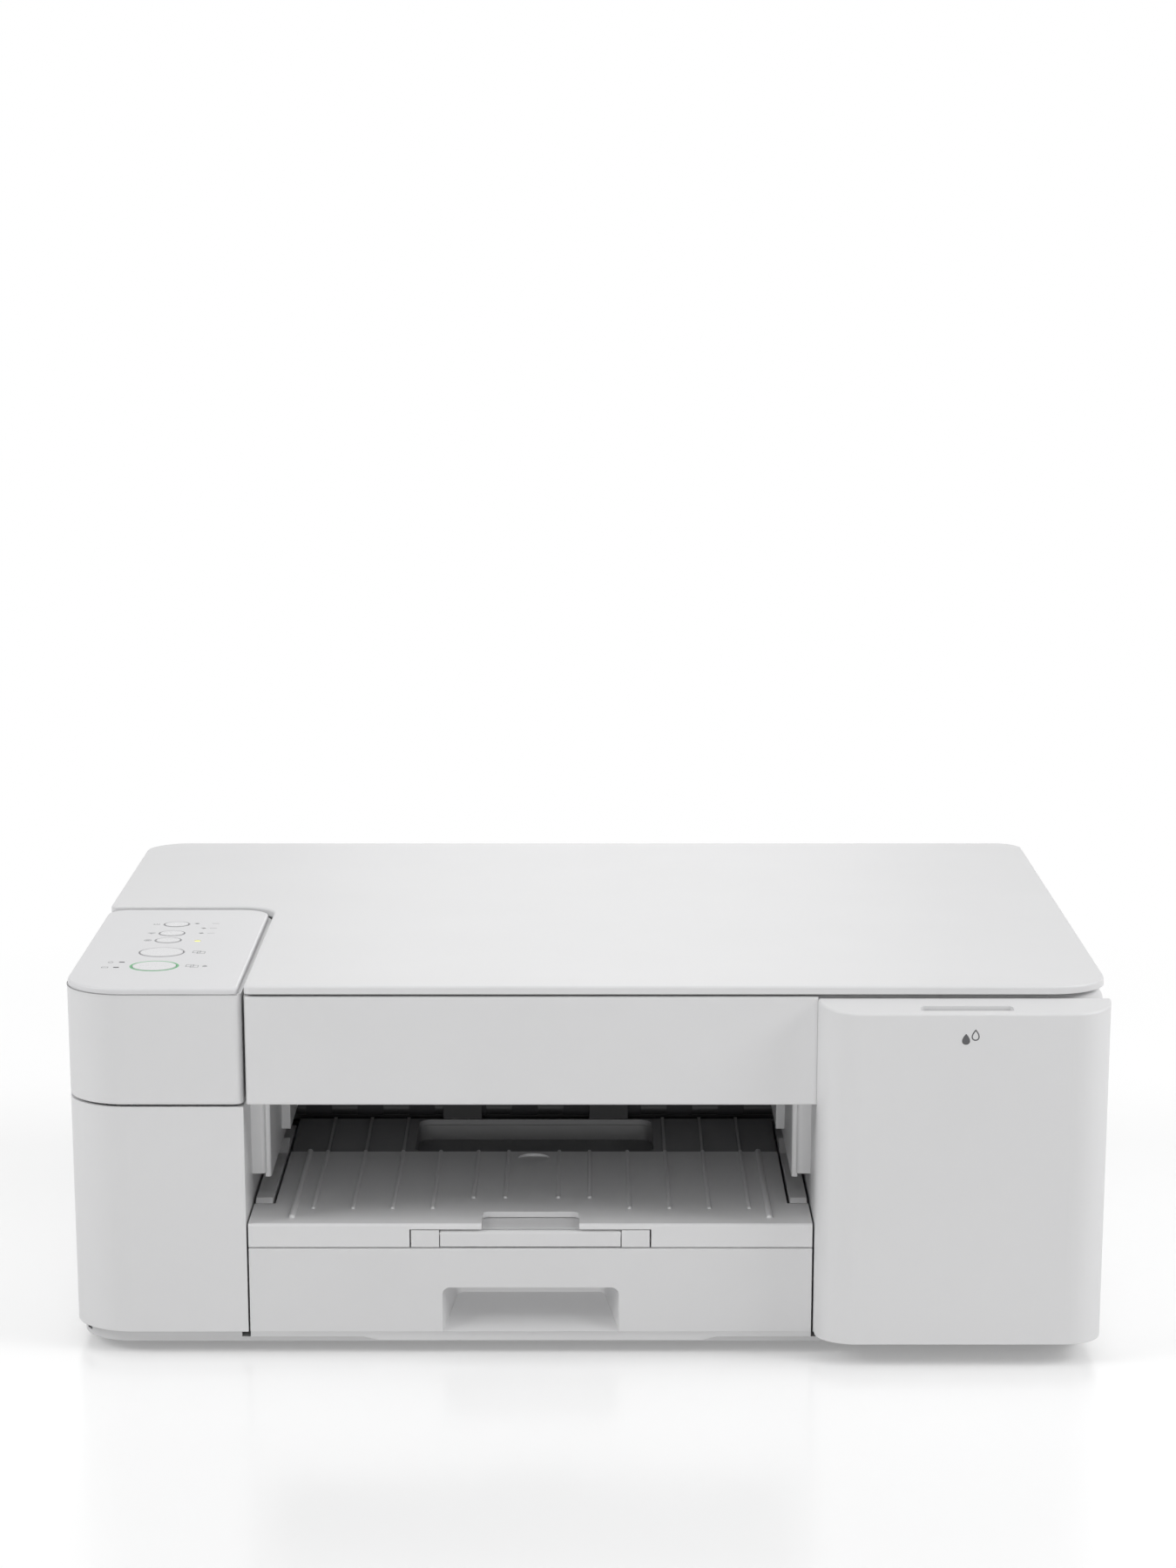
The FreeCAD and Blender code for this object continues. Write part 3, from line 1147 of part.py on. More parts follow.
def guides():
    """Two side guides that a pinion moves together, and the rear-edge guide."""
    module, teeth = value("tooth_module"), 14
    radius = module * teeth / 2
    centre_x, centre_y = value("centre"), value("pinion_y")
    low = value("box_floor") + value("rub")
    high = low + 3
    pinion = toothed(teeth, module, 0.4, 0).extrude(FreeCAD.Vector(0, 0, high - low))
    pinion = pinion.cut(Part.makeCylinder(2 + value("shaft_clear"), high - low))
    pinion.Placement = FreeCAD.Placement(FreeCAD.Vector(centre_x, centre_y, low), FreeCAD.Rotation())
    shaped("guide_pinion", pinion)
    slope = math.tan(math.radians(20))
    for name, side in (("side_guide_left", -1), ("side_guide_right", 1)):
        line = centre_y - side * radius
        pitch = math.pi * module
        edge, reach = value("paper_half"), value("guide_travel") + 14
        points = []
        count = int(edge / pitch)
        for k in range(-int(reach / pitch), count):
            middle = side * (k + phase(teeth)) * pitch
            half_tip = (pitch / 2 - 0.4) / 2 - 0.75 * module * slope
            half_root = (pitch / 2 - 0.4) / 2 + 0.9 * module * slope
            tip, root = line + side * 0.75 * module, line - side * 0.9 * module
            points += [(middle - side * half_root, root), (middle - side * half_tip, tip),
                       (middle + side * half_tip, tip), (middle + side * half_root, root)]
        back = line - side * 6
        end = side * (edge + 0.5)
        points = [(points[0][0], back)] + points + [(end, points[-1][1]), (end, back)]
        loop = [FreeCAD.Vector(centre_x + u, v, low) for u, v in points]
        rack = Part.Face(Part.makePolygon(loop + loop[:1])).extrude(FreeCAD.Vector(0, 0, high - low))
        start = centre_y - 90
        stop = line + 6 if side < 0 else line + 2
        thick = value("guide_thick")
        corner = FreeCAD.Vector(centre_x + side * edge - (thick if side < 0 else 0), start, low)
        plate = Part.makeBox(thick, stop - start, value("guide_height"), corner)
        if side < 0:
            other = centre_y - radius
            passage = FreeCAD.Vector(corner.x - 1, other - 6.6, low - 1)
            plate = plate.cut(Part.makeBox(4, 8.6, high - low + 1.5, passage))
        shaped(name, rack.fuse(plate))
    stop = Piece("rear_guide")
    stop.add(("centre - 16", "centre + 16"), ("front + 30", "front + 33"),
             ("box_floor + rub", "box_floor + 22"))
    stop.add(("centre - 16", "centre + 16"), ("front + 30", "front + 60"),
             ("box_floor + rub", "box_floor + rub + 1.6"))


def phase(teeth):
    """Where a rack's tooth has to stand, in pitches from the pinion's centre line, to fall in a gap."""
    quarter = teeth / 4
    return 0.5 if abs(quarter - round(quarter)) < 0.01 else 0.0


base_pan()
rubber_feet()
body_cover()
power_pieces()
chassis()
feed_path()
turning_shafts()
carriage_drive()
pickup()
ink_supply()
ink_cover()
scanner_case()
hinge_pins()
scanner_inside()
front_fascia()
control_panel()
lid()
tray()
output_deck()
paper_support()
guides()

doc.recompute()
failed = [o.Label for o in doc.Objects if "Invalid" in o.State or "Error" in o.State]
if failed:
    raise RuntimeError(f"these objects failed: {failed}")
for name, made in parts.items():
    if made.Shape.isNull() or not made.Shape.isValid():
        raise RuntimeError(f"{name} has no valid shape")
os.makedirs("parts", exist_ok=True)
for name, made in parts.items():
    made.Shape.exportStep(f"parts/{name}.step")
print(len(parts), "sub-parts")
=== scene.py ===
"""Looks of a flatbed inkjet printer: finishes, small mouldings, marks, stage and camera."""

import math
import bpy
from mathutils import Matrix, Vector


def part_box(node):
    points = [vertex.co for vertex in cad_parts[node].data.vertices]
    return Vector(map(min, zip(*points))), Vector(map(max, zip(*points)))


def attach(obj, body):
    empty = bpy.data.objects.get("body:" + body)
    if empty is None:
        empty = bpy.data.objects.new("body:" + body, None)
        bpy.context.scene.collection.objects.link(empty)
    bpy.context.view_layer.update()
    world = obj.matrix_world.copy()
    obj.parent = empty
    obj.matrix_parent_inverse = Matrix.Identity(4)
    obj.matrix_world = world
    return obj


bl_info = {
    "name": "Inkjet Printer Looks",
    "version": (1, 0, 0),
    "blender": (4, 5, 0),
    "location": "View3D > Sidebar > Printer",
    "description": "Finishes and details a flatbed inkjet printer around its construction model",
    "category": "Object",
}

import bmesh
import bpy
from mathutils import Matrix, Vector

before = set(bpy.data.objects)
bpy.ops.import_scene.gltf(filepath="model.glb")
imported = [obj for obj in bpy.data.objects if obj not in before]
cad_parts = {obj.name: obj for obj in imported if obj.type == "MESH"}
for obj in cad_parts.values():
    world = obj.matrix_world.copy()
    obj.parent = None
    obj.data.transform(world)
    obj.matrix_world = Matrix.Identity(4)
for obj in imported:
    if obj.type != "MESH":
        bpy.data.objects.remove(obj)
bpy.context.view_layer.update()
MM = 0.001


# ---------------------------------------------------------------- settings

class PrinterFinish(bpy.types.PropertyGroup):
    """Colours and grain of the printer's mouldings."""

    shell: bpy.props.FloatVectorProperty(
        name="Shell", description="White of the outer covers", subtype="COLOR", size=3,
        default=(0.72, 0.72, 0.725), min=0, max=1)
    panel: bpy.props.FloatVectorProperty(
        name="Panel", description="Control panel and buttons", subtype="COLOR", size=3,
        default=(0.70, 0.70, 0.71), min=0, max=1)
    # painted shade: a dark grey for the deck's back half that stands in for the shade deep in the throat
    throat_shade: bpy.props.FloatVectorProperty(
        name="Throat", description="Dark back half of the output deck", subtype="COLOR", size=3,
        default=(0.26, 0.26, 0.265), min=0, max=1)
    inside: bpy.props.FloatVectorProperty(
        name="Inside", description="Black mouldings of the print engine", subtype="COLOR", size=3,
        default=(0.012, 0.012, 0.013), min=0, max=1)
    lit_ring: bpy.props.FloatVectorProperty(
        name="Lit ring", description="Ring around the start button", subtype="COLOR", size=3,
        default=(0.01, 0.30, 0.07), min=0, max=1)
    grain: bpy.props.FloatProperty(
        name="Grain", description="Size of the fine moulded texture", default=0.35 * MM, unit="LENGTH")
    soft_edge: bpy.props.FloatProperty(
        name="Soft edge", description="Radius that light sees on moulded edges", default=0.35 * MM,
        unit="LENGTH")


class PrinterStage(bpy.types.PropertyGroup):
    """Where the printer stands and how it is lit."""

    floor: bpy.props.FloatVectorProperty(
        name="Floor", description="Pale floor", subtype="COLOR", size=3,
        default=(0.78, 0.78, 0.78), min=0, max=1)
    floor_glow: bpy.props.FloatProperty(
        name="Floor glow", description="What the eye sees added to the floor, to join the white behind it",
        default=0.24)
    camera_height: bpy.props.FloatProperty(
        name="Camera height", description="Above the floor", default=0.483, unit="LENGTH")
    camera_back: bpy.props.FloatProperty(
        name="Camera distance", description="In front of the printer's middle", default=1.6647, unit="LENGTH")
    camera_tilt: bpy.props.FloatProperty(
        name="Camera tilt", description="Below the horizon", default=math.radians(14.916), unit="ROTATION")
    camera_lens: bpy.props.FloatProperty(
        name="Lens", description="Focal length in millimetres", default=85.32)
    sky: bpy.props.FloatProperty(
        name="Sky", description="Strength of the even light all round", default=0.28)


# ---------------------------------------------------------------- finishes

def new_material(name):
    """A node material, its nodes, links and shader, and the place on the piece as a vector."""
    made = bpy.data.materials.new(name)
    made.use_nodes = True
    nodes, links = made.node_tree.nodes, made.node_tree.links
    place = nodes.new("ShaderNodeTexCoord").outputs["Object"]
    return made, nodes, links, nodes["Principled BSDF"], place


def noise(nodes, links, place, scale, detail=2.0, rough=0.5):
    made = nodes.new("ShaderNodeTexNoise")
    made.inputs["Scale"].default_value = scale
    made.inputs["Detail"].default_value = detail
    made.inputs["Roughness"].default_value = rough
    links.new(place, made.inputs["Vector"])
    return made.outputs["Fac"]


def spread(nodes, links, value, low, high):
    """Maps a noise's middle range onto low to high."""
    made = nodes.new("ShaderNodeMapRange")
    made.inputs["From Min"].default_value = 0.3
    made.inputs["From Max"].default_value = 0.7
    made.inputs["To Min"].default_value = low
    made.inputs["To Max"].default_value = high
    links.new(value, made.inputs["Value"])
    return made.outputs["Result"]


def bumped(nodes, links, shader, height, strength, distance):
    """Raises the surface by a texture, and returns the bump for what else joins it."""
    bump = nodes.new("ShaderNodeBump")
    bump.inputs["Strength"].default_value = strength
    bump.inputs["Distance"].default_value = distance
    links.new(height, bump.inputs["Height"])
    links.new(bump.outputs["Normal"], shader.inputs["Normal"])
    return bump


def past(nodes, links, axis, operation, edge):
    """One on the far or near side of a plane across one of the piece's own axes, and zero elsewhere."""
    apart = nodes.new("ShaderNodeSeparateXYZ")
    links.new(nodes.new("ShaderNodeTexCoord").outputs["Object"], apart.inputs[0])
    made = nodes.new("ShaderNodeMath")
    made.operation = operation
    made.inputs[1].default_value = edge
    links.new(apart.outputs[axis], made.inputs[0])
    return made.outputs[0]


def mixed(nodes, links, shader, factor):
    """A mix of two colours that becomes the shader's base colour."""
    mix = nodes.new("ShaderNodeMix")
    mix.data_type = "RGBA"
    links.new(factor, mix.inputs["Factor"])
    links.new(mix.outputs["Result"], shader.inputs["Base Color"])
    return mix.inputs["A"], mix.inputs["B"]


FLECK = 0.008  # how far a moulding's colour drifts


def moulded(name, colour, rough=0.45, grain=None, depth=0.25, coat=0.0, edge=None):
    """Injection-moulded plastic: fine grain in the bump, faint cloudiness in colour and gloss, soft edges."""
    finish = bpy.context.scene.printer_finish
    made, nodes, links, shader, place = new_material(name)
    cloud = noise(nodes, links, place, 18.0, 3.0)
    dark, light = mixed(nodes, links, shader, spread(nodes, links, cloud, 0, 1))
    dark.default_value = (*[c * (1 - FLECK) for c in colour], 1)
    light.default_value = (*[min(1, c * (1 + FLECK)) for c in colour], 1)
    size = grain or finish.grain
    pebble = noise(nodes, links, place, 1 / size, 2.0, 0.6)
    links.new(spread(nodes, links, pebble, rough - 0.04, rough + 0.05), shader.inputs["Roughness"])
    shader.inputs["Coat Weight"].default_value = coat
    soft = nodes.new("ShaderNodeBevel")
    soft.samples = 4
    soft.inputs["Radius"].default_value = edge or finish.soft_edge
    bump = bumped(nodes, links, shader, pebble, depth, size * 0.12)
    links.new(soft.outputs["Normal"], bump.inputs["Normal"])
    return made


def split_by_place(made, axis, edge, colour):
    """Gives a finished plastic a second colour beyond a plane across one of its own axes."""
    nodes, links = made.node_tree.nodes, made.node_tree.links
    shader = nodes["Principled BSDF"]
    first = shader.inputs["Base Color"].links[0].from_socket
    near, far = mixed(nodes, links, shader, past(nodes, links, axis, "GREATER_THAN", edge))
    links.new(first, near)
    far.default_value = (*colour, 1)
    return made


def brushed(name, colour, rough=0.32):
    """Rolled or plated steel with fine lines from side to side."""
    made, nodes, links, shader, place = new_material(name)
    stretch = nodes.new("ShaderNodeMapping")
    stretch.inputs["Scale"].default_value = (20, 1600, 1600)
    links.new(place, stretch.inputs["Vector"])
    lines = noise(nodes, links, stretch.outputs["Vector"], 1.0, 3.0, 0.7)
    shader.inputs["Base Color"].default_value = (*colour, 1)
    shader.inputs["Metallic"].default_value = 1.0
    links.new(spread(nodes, links, lines, rough - 0.08, rough + 0.1), shader.inputs["Roughness"])
    bumped(nodes, links, shader, lines, 0.12, 0.02 * MM)
    return made


def glazed(name, colour, rough=0.03):
    """Clear float glass or a clear lens."""
    made, nodes, links, shader, place = new_material(name)
    shader.inputs["Base Color"].default_value = (*colour, 1)
    shader.inputs["Transmission Weight"].default_value = 1.0
    shader.inputs["IOR"].default_value = 1.5
    smear = noise(nodes, links, place, 40.0, 4.0)
    links.new(spread(nodes, links, smear, rough, rough + 0.03), shader.inputs["Roughness"])
    return made


def glowing(name, colour, strength):
    """A small lamp or light ring: coloured clear plastic lit from within, a little uneven."""
    made, nodes, links, shader, place = new_material(name)
    patch = noise(nodes, links, place, 300.0, 1.0)
    shader.inputs["Base Color"].default_value = (*colour, 1)
    shader.inputs["Emission Color"].default_value = (*colour, 1)
    links.new(spread(nodes, links, patch, strength * 0.85, strength), shader.inputs["Emission Strength"])
    shader.inputs["Roughness"].default_value = 0.3
    return made


def indicator_row(name, lit, unlit, edge):
    """The panel's small lamps: dark windows, of which only the one in front of the edge is lit."""
    made = glowing(name, lit, 1.0)
    nodes, links = made.node_tree.nodes, made.node_tree.links
    shader = nodes["Principled BSDF"]
    in_front = past(nodes, links, "Y", "LESS_THAN", edge)
    links.new(in_front, shader.inputs["Emission Strength"])
    dark, bright = mixed(nodes, links, shader, in_front)
    dark.default_value = (*unlit, 1)
    bright.default_value = (*lit, 1)
    return made


def foam(name, colour):
    """Open-celled sponge with pores."""
    made, nodes, links, shader, place = new_material(name)
    cells = nodes.new("ShaderNodeTexVoronoi")
    cells.inputs["Scale"].default_value = 900
    links.new(place, cells.inputs["Vector"])
    shader.inputs["Base Color"].default_value = (*colour, 1)
    shader.inputs["Roughness"].default_value = 0.85
    bumped(nodes, links, shader, cells.outputs["Distance"], 0.5, 0.2 * MM)
    return made


def board(name):
    """Solder mask over copper tracks."""
    made, nodes, links, shader, place = new_material(name)
    tracks = nodes.new("ShaderNodeTexBrick")
    tracks.inputs["Scale"].default_value = 220
    tracks.inputs["Color1"].default_value = (0.012, 0.09, 0.04, 1)
    tracks.inputs["Color2"].default_value = (0.015, 0.12, 0.05, 1)
    tracks.inputs["Mortar"].default_value = (0.03, 0.2, 0.09, 1)
    links.new(place, tracks.inputs["Vector"])
    links.new(tracks.outputs["Color"], shader.inputs["Base Color"])
    shader.inputs["Roughness"].default_value = 0.35
    return made


FINISHES = {}
DECK_FRONT_HALF = 119.7 * MM  # depth of the output deck's white part
BACK_RIB_CLIMB = 2.5 * MM  # how far the deck's back ribs rise towards the rear
GEARS_END = -153.5 * MM  # where the rollers' own gears end
LAST_LAMP = 5 * MM  # depth of the nearest of the panel's lamps
ACETAL = (0.62, 0.60, 0.52)


def make_finishes():
    """Every finish by its plain name."""
    look = bpy.context.scene.printer_finish
    deck_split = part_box("output_deck")[0].y + DECK_FRONT_HALF
    last_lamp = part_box("indicator_lights")[0].y + LAST_LAMP
    FINISHES.update({
        "shell": moulded("shell_white", look.shell, 0.42),
        "lid": moulded("lid_white", look.shell, 0.46, depth=0.15),
        "panel": moulded("panel_white", look.panel, 0.38, depth=0.15),
        # The deck's back half beyond the split gets the dark grey of painted shade.
        "deck": split_by_place(moulded("deck_white", look.shell, 0.5), "Y", deck_split, look.throat_shade),
        "tray": moulded("tray_white", [c * 0.97 for c in look.shell], 0.45),
        "base": moulded("base_grey", [c * 0.85 for c in look.shell], 0.5),
        "button": moulded("button_white", look.panel, 0.28, depth=0.05, coat=0.2),
        "black": moulded("engine_black", look.inside, 0.5, grain=0.5 * MM),
        "gear": moulded("acetal_cream", ACETAL, 0.35, depth=0.1),
        "steel": brushed("plated_steel", (0.55, 0.56, 0.58)),
        "dark_steel": brushed("dark_steel", (0.10, 0.10, 0.11), 0.4),
        "rubber": moulded("roller_rubber", (0.018, 0.018, 0.02), 0.75, grain=0.25 * MM, depth=0.6),
        "board": board("circuit_board"),
        "glass": glazed("scan_glass", (0.92, 0.97, 0.95)),
        "foam": foam("white_sponge", (0.78, 0.78, 0.77)),
        # dark print and dark parts, and painted shade in the screws' crosses
        "mark": moulded("mark_and_shade_grey", (0.09, 0.09, 0.095), 0.5, depth=0.05, edge=0.05 * MM),
        # dark joints, and painted shade on the plates behind the vents' bars
        "seam": moulded("seam_and_shade_dark", (0.03, 0.03, 0.032), 0.6),
        # painted shade: the thin shadow line under the panel's edge and the fills in the gaps round the plain
        # buttons
        "seam_shade_grey": moulded("seam_shade_grey", (0.33, 0.33, 0.335), 0.6),
        "green": glowing("lit_green", look.lit_ring, 0.18),
        "indicators": indicator_row("indicator_lamps", (0.72, 0.70, 0.10), (0.14, 0.14, 0.14), last_lamp),
        # print, and painted shade in the thin rings round the plain buttons
        "print_and_shade_grey": moulded("print_and_shade_grey", (0.30, 0.30, 0.31), 0.5, depth=0.05, edge=0.05 * MM),
        "clear": glazed("clear_strip", (0.85, 0.88, 0.90), 0.1),
        "latch": moulded("latch_blue", (0.10, 0.22, 0.42), 0.4),
        "cork": foam("friction_cork", (0.35, 0.22, 0.12)),
        # painted highlight: a lighter grey for the tops of the deck's back ribs
        "rib_highlight": moulded("rib_highlight", (0.42, 0.42, 0.425), 0.4),
        "label": moulded("bare_label", (0.42, 0.42, 0.43), 0.35, depth=0.05, edge=0.05 * MM),
        "paper": moulded("paper_label", (0.74, 0.74, 0.72), 0.55, depth=0.1, edge=0.05 * MM),
        "roller": split_by_place(moulded("roller_mix", ACETAL, 0.5), "X", GEARS_END, (0.024, 0.024, 0.025)),
        "ink_black": moulded("ink_black_case", (0.02, 0.02, 0.02), 0.35),
        "ink_yellow": moulded("ink_yellow_case", (0.80, 0.60, 0.02), 0.35),
        "ink_cyan": moulded("ink_cyan_case", (0.01, 0.30, 0.60), 0.35),
        "ink_magenta": moulded("ink_magenta_case", (0.62, 0.02, 0.20), 0.35),
    })


NODE_FINISHES = {
    "shell": ("body_cover", "scanner_case", "front_fascia", "panel_block", "ink_cover"),
    "lid": ("lid_cover",),
    "panel": ("panel_plate",),
    "deck": ("output_deck",),
    "tray": ("tray_front", "paper_support", "support_flap", "tray_box"),
    "base": ("base_pan",),
    "button": ("power_button", "wifi_button", "stop_button", "mono_copy_button", "colour_copy_button"),
    "black": ("platen", "maintenance_unit", "cartridge_holder", "eject_star_wheels", "pinch_rollers",
              "print_carriage", "pickup_arm", "cis_bar", "power_inlet", "usb_port", "power_supply"),
    "gear": ("idler_gear", "motor_pinion", "guide_pinion", "idler_pulley", "drive_pulley",
             "side_guide_left", "side_guide_right", "rear_guide"),
    "dark_steel": ("chassis",),
    "steel": ("carriage_rail", "cis_rail", "unit_hinge_pins", "lid_hinge_pins", "carriage_motor",
              "feed_motor"),
    "roller": ("feed_roller", "eject_roller"),
    "rubber": ("pickup_roller", "rubber_feet", "carriage_belt", "ink_tubes"),
    "board": ("main_board", "panel_board"),
    "glass": ("scan_glass",),
    "foam": ("lid_pad", "waste_ink_pad"),
    "indicators": ("indicator_lights",),
    "ink_black": ("cartridge_black",),
    "ink_yellow": ("cartridge_yellow",),
    "ink_cyan": ("cartridge_cyan",),
    "ink_magenta": ("cartridge_magenta",),
}


# ---------------------------------------------------------------- mesh tools

PIECE_CREASE, NODE_CREASE = math.radians(35), math.radians(30)  # sharper edges stay sharp


def set_finish(obj, name):
    obj.data.materials.clear()
    obj.data.materials.append(FINISHES[name])


def settle(obj, body, name):
    """Gives a new piece its finish and lets it ride on its body."""
    set_finish(obj, name)
    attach(obj, body)


def piece_from(bm, name):
    """A linked object whose mesh is this bmesh, smooth where faces turn gently."""
    bmesh.ops.recalc_face_normals(bm, faces=bm.faces)
    data = bpy.data.meshes.new(name)
    bm.to_mesh(data)
    bm.free()
    made = bpy.data.objects.new(name, data)
    bpy.context.scene.collection.objects.link(made)
    data.shade_smooth()
    data.set_sharp_from_angle(angle=PIECE_CREASE)
    return made


def add_block(bm, low, high, soft=0.3 * MM, steps=2):
    """Adds a box with rounded edges to the bmesh."""
    low, high = Vector(low), Vector(high)
    made = bmesh.ops.create_cube(bm, size=1)["verts"]
    for vert in made:
        vert.co = Vector(((a + b) / 2 + (b - a) * c for a, b, c in zip(low, high, vert.co)))
    if soft:
        edges = list({e for v in made for e in v.link_edges})
        reach = min(soft, 0.45 * min(high - low))
        bmesh.ops.bevel(bm, geom=edges, offset=reach, segments=steps, profile=0.5, affect="EDGES")


def add_lathe(bm, centre, profile, axis="z", steps=48):
    """Adds a surface turned about an axis through the centre; the profile is (radius, height) pairs."""
    turn = {"x": Matrix.Rotation(math.radians(90), 3, "Y"), "z": Matrix.Identity(3)}[axis]
    rings = []
    for radius, height in profile:
        if radius < 1e-9:
            rings.append([bm.verts.new(Vector(centre) + turn @ Vector((0, 0, height)))])
            continue
        ring = []
        for k in range(steps):
            angle = 2 * math.pi * k / steps
            spot = Vector((radius * math.cos(angle), radius * math.sin(angle), height))
            ring.append(bm.verts.new(Vector(centre) + turn @ spot))
        rings.append(ring)
    for lower, upper in zip(rings, rings[1:]):
        for k in range(steps):
            following = (k + 1) % steps
            if len(lower) == 1 and len(upper) > 1:
                bm.faces.new((lower[0], upper[k], upper[following]))
            elif len(upper) == 1 and len(lower) > 1:
                bm.faces.new((lower[k], upper[0], lower[following]))
            elif len(lower) > 1:
                bm.faces.new((lower[k], lower[following], upper[following], upper[k]))


def add_plate(bm, points, thick, place, soft=0.0):
    """Adds a flat plate: an outline in its own plane, raised by thick along local Z, then set by a matrix."""
    base = [bm.verts.new(place @ Vector((u, v, 0))) for u, v in points]
    top = [bm.verts.new(place @ Vector((u, v, thick))) for u, v in points]
    bm.faces.new(base[::-1])
    cap = bm.faces.new(top)
    for k in range(len(points)):
        following = (k + 1) % len(points)
        bm.faces.new((base[k], base[following], top[following], top[k]))
    if soft:
        bmesh.ops.bevel(bm, geom=list(cap.edges), offset=soft, segments=2, profile=0.5, affect="EDGES")


def ring_piece(name, centre, inner, outer, height, axis="z", steps=72):
    """A flat ring with rounded corners."""
    soft = min(outer - inner, height) * 0.3
    bm = bmesh.new()
    profile = [(inner, 0), (outer, 0), (outer, height - soft), (outer - soft, height), (inner + soft, height),
               (inner, height - soft), (inner, 0)]
    add_lathe(bm, centre, profile, axis, steps)
    bmesh.ops.remove_doubles(bm, verts=bm.verts, dist=1e-7)
    return piece_from(bm, name)


FACING_FRONT = Matrix(((1, 0, 0, 0), (0, 0, -1, 0), (0, 1, 0, 0), (0, 0, 0, 1)))
FACING_BACK = Matrix(((-1, 0, 0, 0), (0, 0, 1, 0), (0, 1, 0, 0), (0, 0, 0, 1)))
FACING_LEFT = Matrix(((0, 0, -1, 0), (-1, 0, 0, 0), (0, 1, 0, 0), (0, 0, 0, 1)))
FACING_RIGHT = Matrix(((0, 0, 1, 0), (1, 0, 0, 0), (0, 1, 0, 0), (0, 0, 0, 1)))
FACING_UP = Matrix.Identity(4)
FACING_DOWN = Matrix(((1, 0, 0, 0), (0, -1, 0, 0), (0, 0, -1, 0), (0, 0, 0, 1)))
PRINTED = 0.05 * MM  # thickness of a printed mark


def at(x, y, z, facing=FACING_UP):
    """A plane's place: its origin and the way it faces."""
    return Matrix.Translation((x, y, z)) @ facing


def arc(u, v, radius, start, stop, steps=20):
    """Points of an arc about (u, v), from one angle to the other in degrees."""
    turns = [math.radians(start + (stop - start) * k / steps) for k in range(steps + 1)]
    return [(u + radius * math.cos(t), v + radius * math.sin(t)) for t in turns]


def circle(u, v, radius, steps=40):
    return arc(u, v, radius, 0, 360, steps)[:-1]


def rectangle(u, v, wide, high, corner=0.0):
    """Outline of a rectangle about its centre, with round corners if asked."""
    if not corner:
        return [(u - wide / 2, v - high / 2), (u + wide / 2, v - high / 2),
                (u + wide / 2, v + high / 2), (u - wide / 2, v + high / 2)]
    points = []
    for k, (side, end) in enumerate(((1, 1), (-1, 1), (-1, -1), (1, -1))):
        middle = (u + side * (wide / 2 - corner), v + end * (high / 2 - corner))
        points += arc(*middle, corner, 90 * k, 90 * k + 90, 6)
    return points


def teardrop(u, v, wide, high, steps=36):
    """A drop with its point up, about its centre."""
    points = []
    for k in range(steps):
        turn = 2 * math.pi * (k + 0.5) / steps
        points.append((u + wide * 0.65 * math.sin(turn) * math.sin(turn / 2), v + high / 2 * math.cos(turn)))
    return points


def add_ribbon(bm, points, width, thick, place, closed=False):
    """Adds a flat band of even width that follows points, raised along the plane's normal."""
    count = len(points)
    spots = [Vector(p) for p in points]
    rows = []
    for k, spot in enumerate(spots):
        before = spots[k - 1] if k or closed else spot
        after = spots[(k + 1) % count] if k < count - 1 or closed else spot
        ways = [(b - a).normalized() for a, b in ((before, spot), (spot, after)) if (b - a).length > 1e-9]
        along = sum(ways, Vector((0, 0))).normalized()
        side = Vector((-along.y, along.x)) * (width / 2) / max(0.5, along.dot(ways[0]))
        rows.append([bm.verts.new(place @ Vector((*(spot + side * s), h)))
                     for s, h in ((-1, 0), (1, 0), (1, thick), (-1, thick))])
    for k in range(count if closed else count - 1):
        row, following = rows[k], rows[(k + 1) % count]
        for c in range(4):
            d = (c + 1) % 4
            bm.faces.new((row[c], row[d], following[d], following[c]))
    if not closed:
        bm.faces.new(rows[0][::-1])
        bm.faces.new(rows[-1])


def make_piece(name, body, finish_name, *steps):
    """One piece built by the given steps, each a function that adds to the piece's mesh."""
    bm = bmesh.new()
    for step in steps:
        step(bm)
    settle(piece_from(bm, name), body, finish_name)


def flat_piece(name, body, finish_name, outline, thick, place):
    """One flat plate as a piece."""
    make_piece(name, body, finish_name, lambda bm: add_plate(bm, outline, thick, place))


def line_piece(name, body, finish_name, outline, width, thick, place):
    """One closed line of even width as a piece."""
    make_piece(name, body, finish_name,
               lambda bm: add_ribbon(bm, outline, width, thick, place, closed=True))


def middle_of(node):
    low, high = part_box(node)
    return (low + high) / 2


# ---------------------------------------------------------------- operators

BUTTONS = ("power_button", "wifi_button", "stop_button", "mono_copy_button", "colour_copy_button")
SKIRT = 1.2 * MM  # flange under each button, wider than its cap
BUTTON_GAP = 0.36 * MM  # between a cap and the panel round it
CORNER_FRONT = 26 * MM  # radius of the panel's front corner
INKS = ("black", "yellow", "cyan", "magenta")


class PRINTER_OT_finishes(bpy.types.Operator):
    """Make the finishes and give one to each construction node"""

    bl_idname = "printer.finishes"
    bl_label = "Finishes"

    def execute(self, context):
        make_finishes()
        for name, nodes in NODE_FINISHES.items():
            for node in nodes:
                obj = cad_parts[node]
                set_finish(obj, name)
                obj.data.shade_smooth()
                obj.data.set_sharp_from_angle(angle=NODE_CREASE)
        return {"FINISHED"}


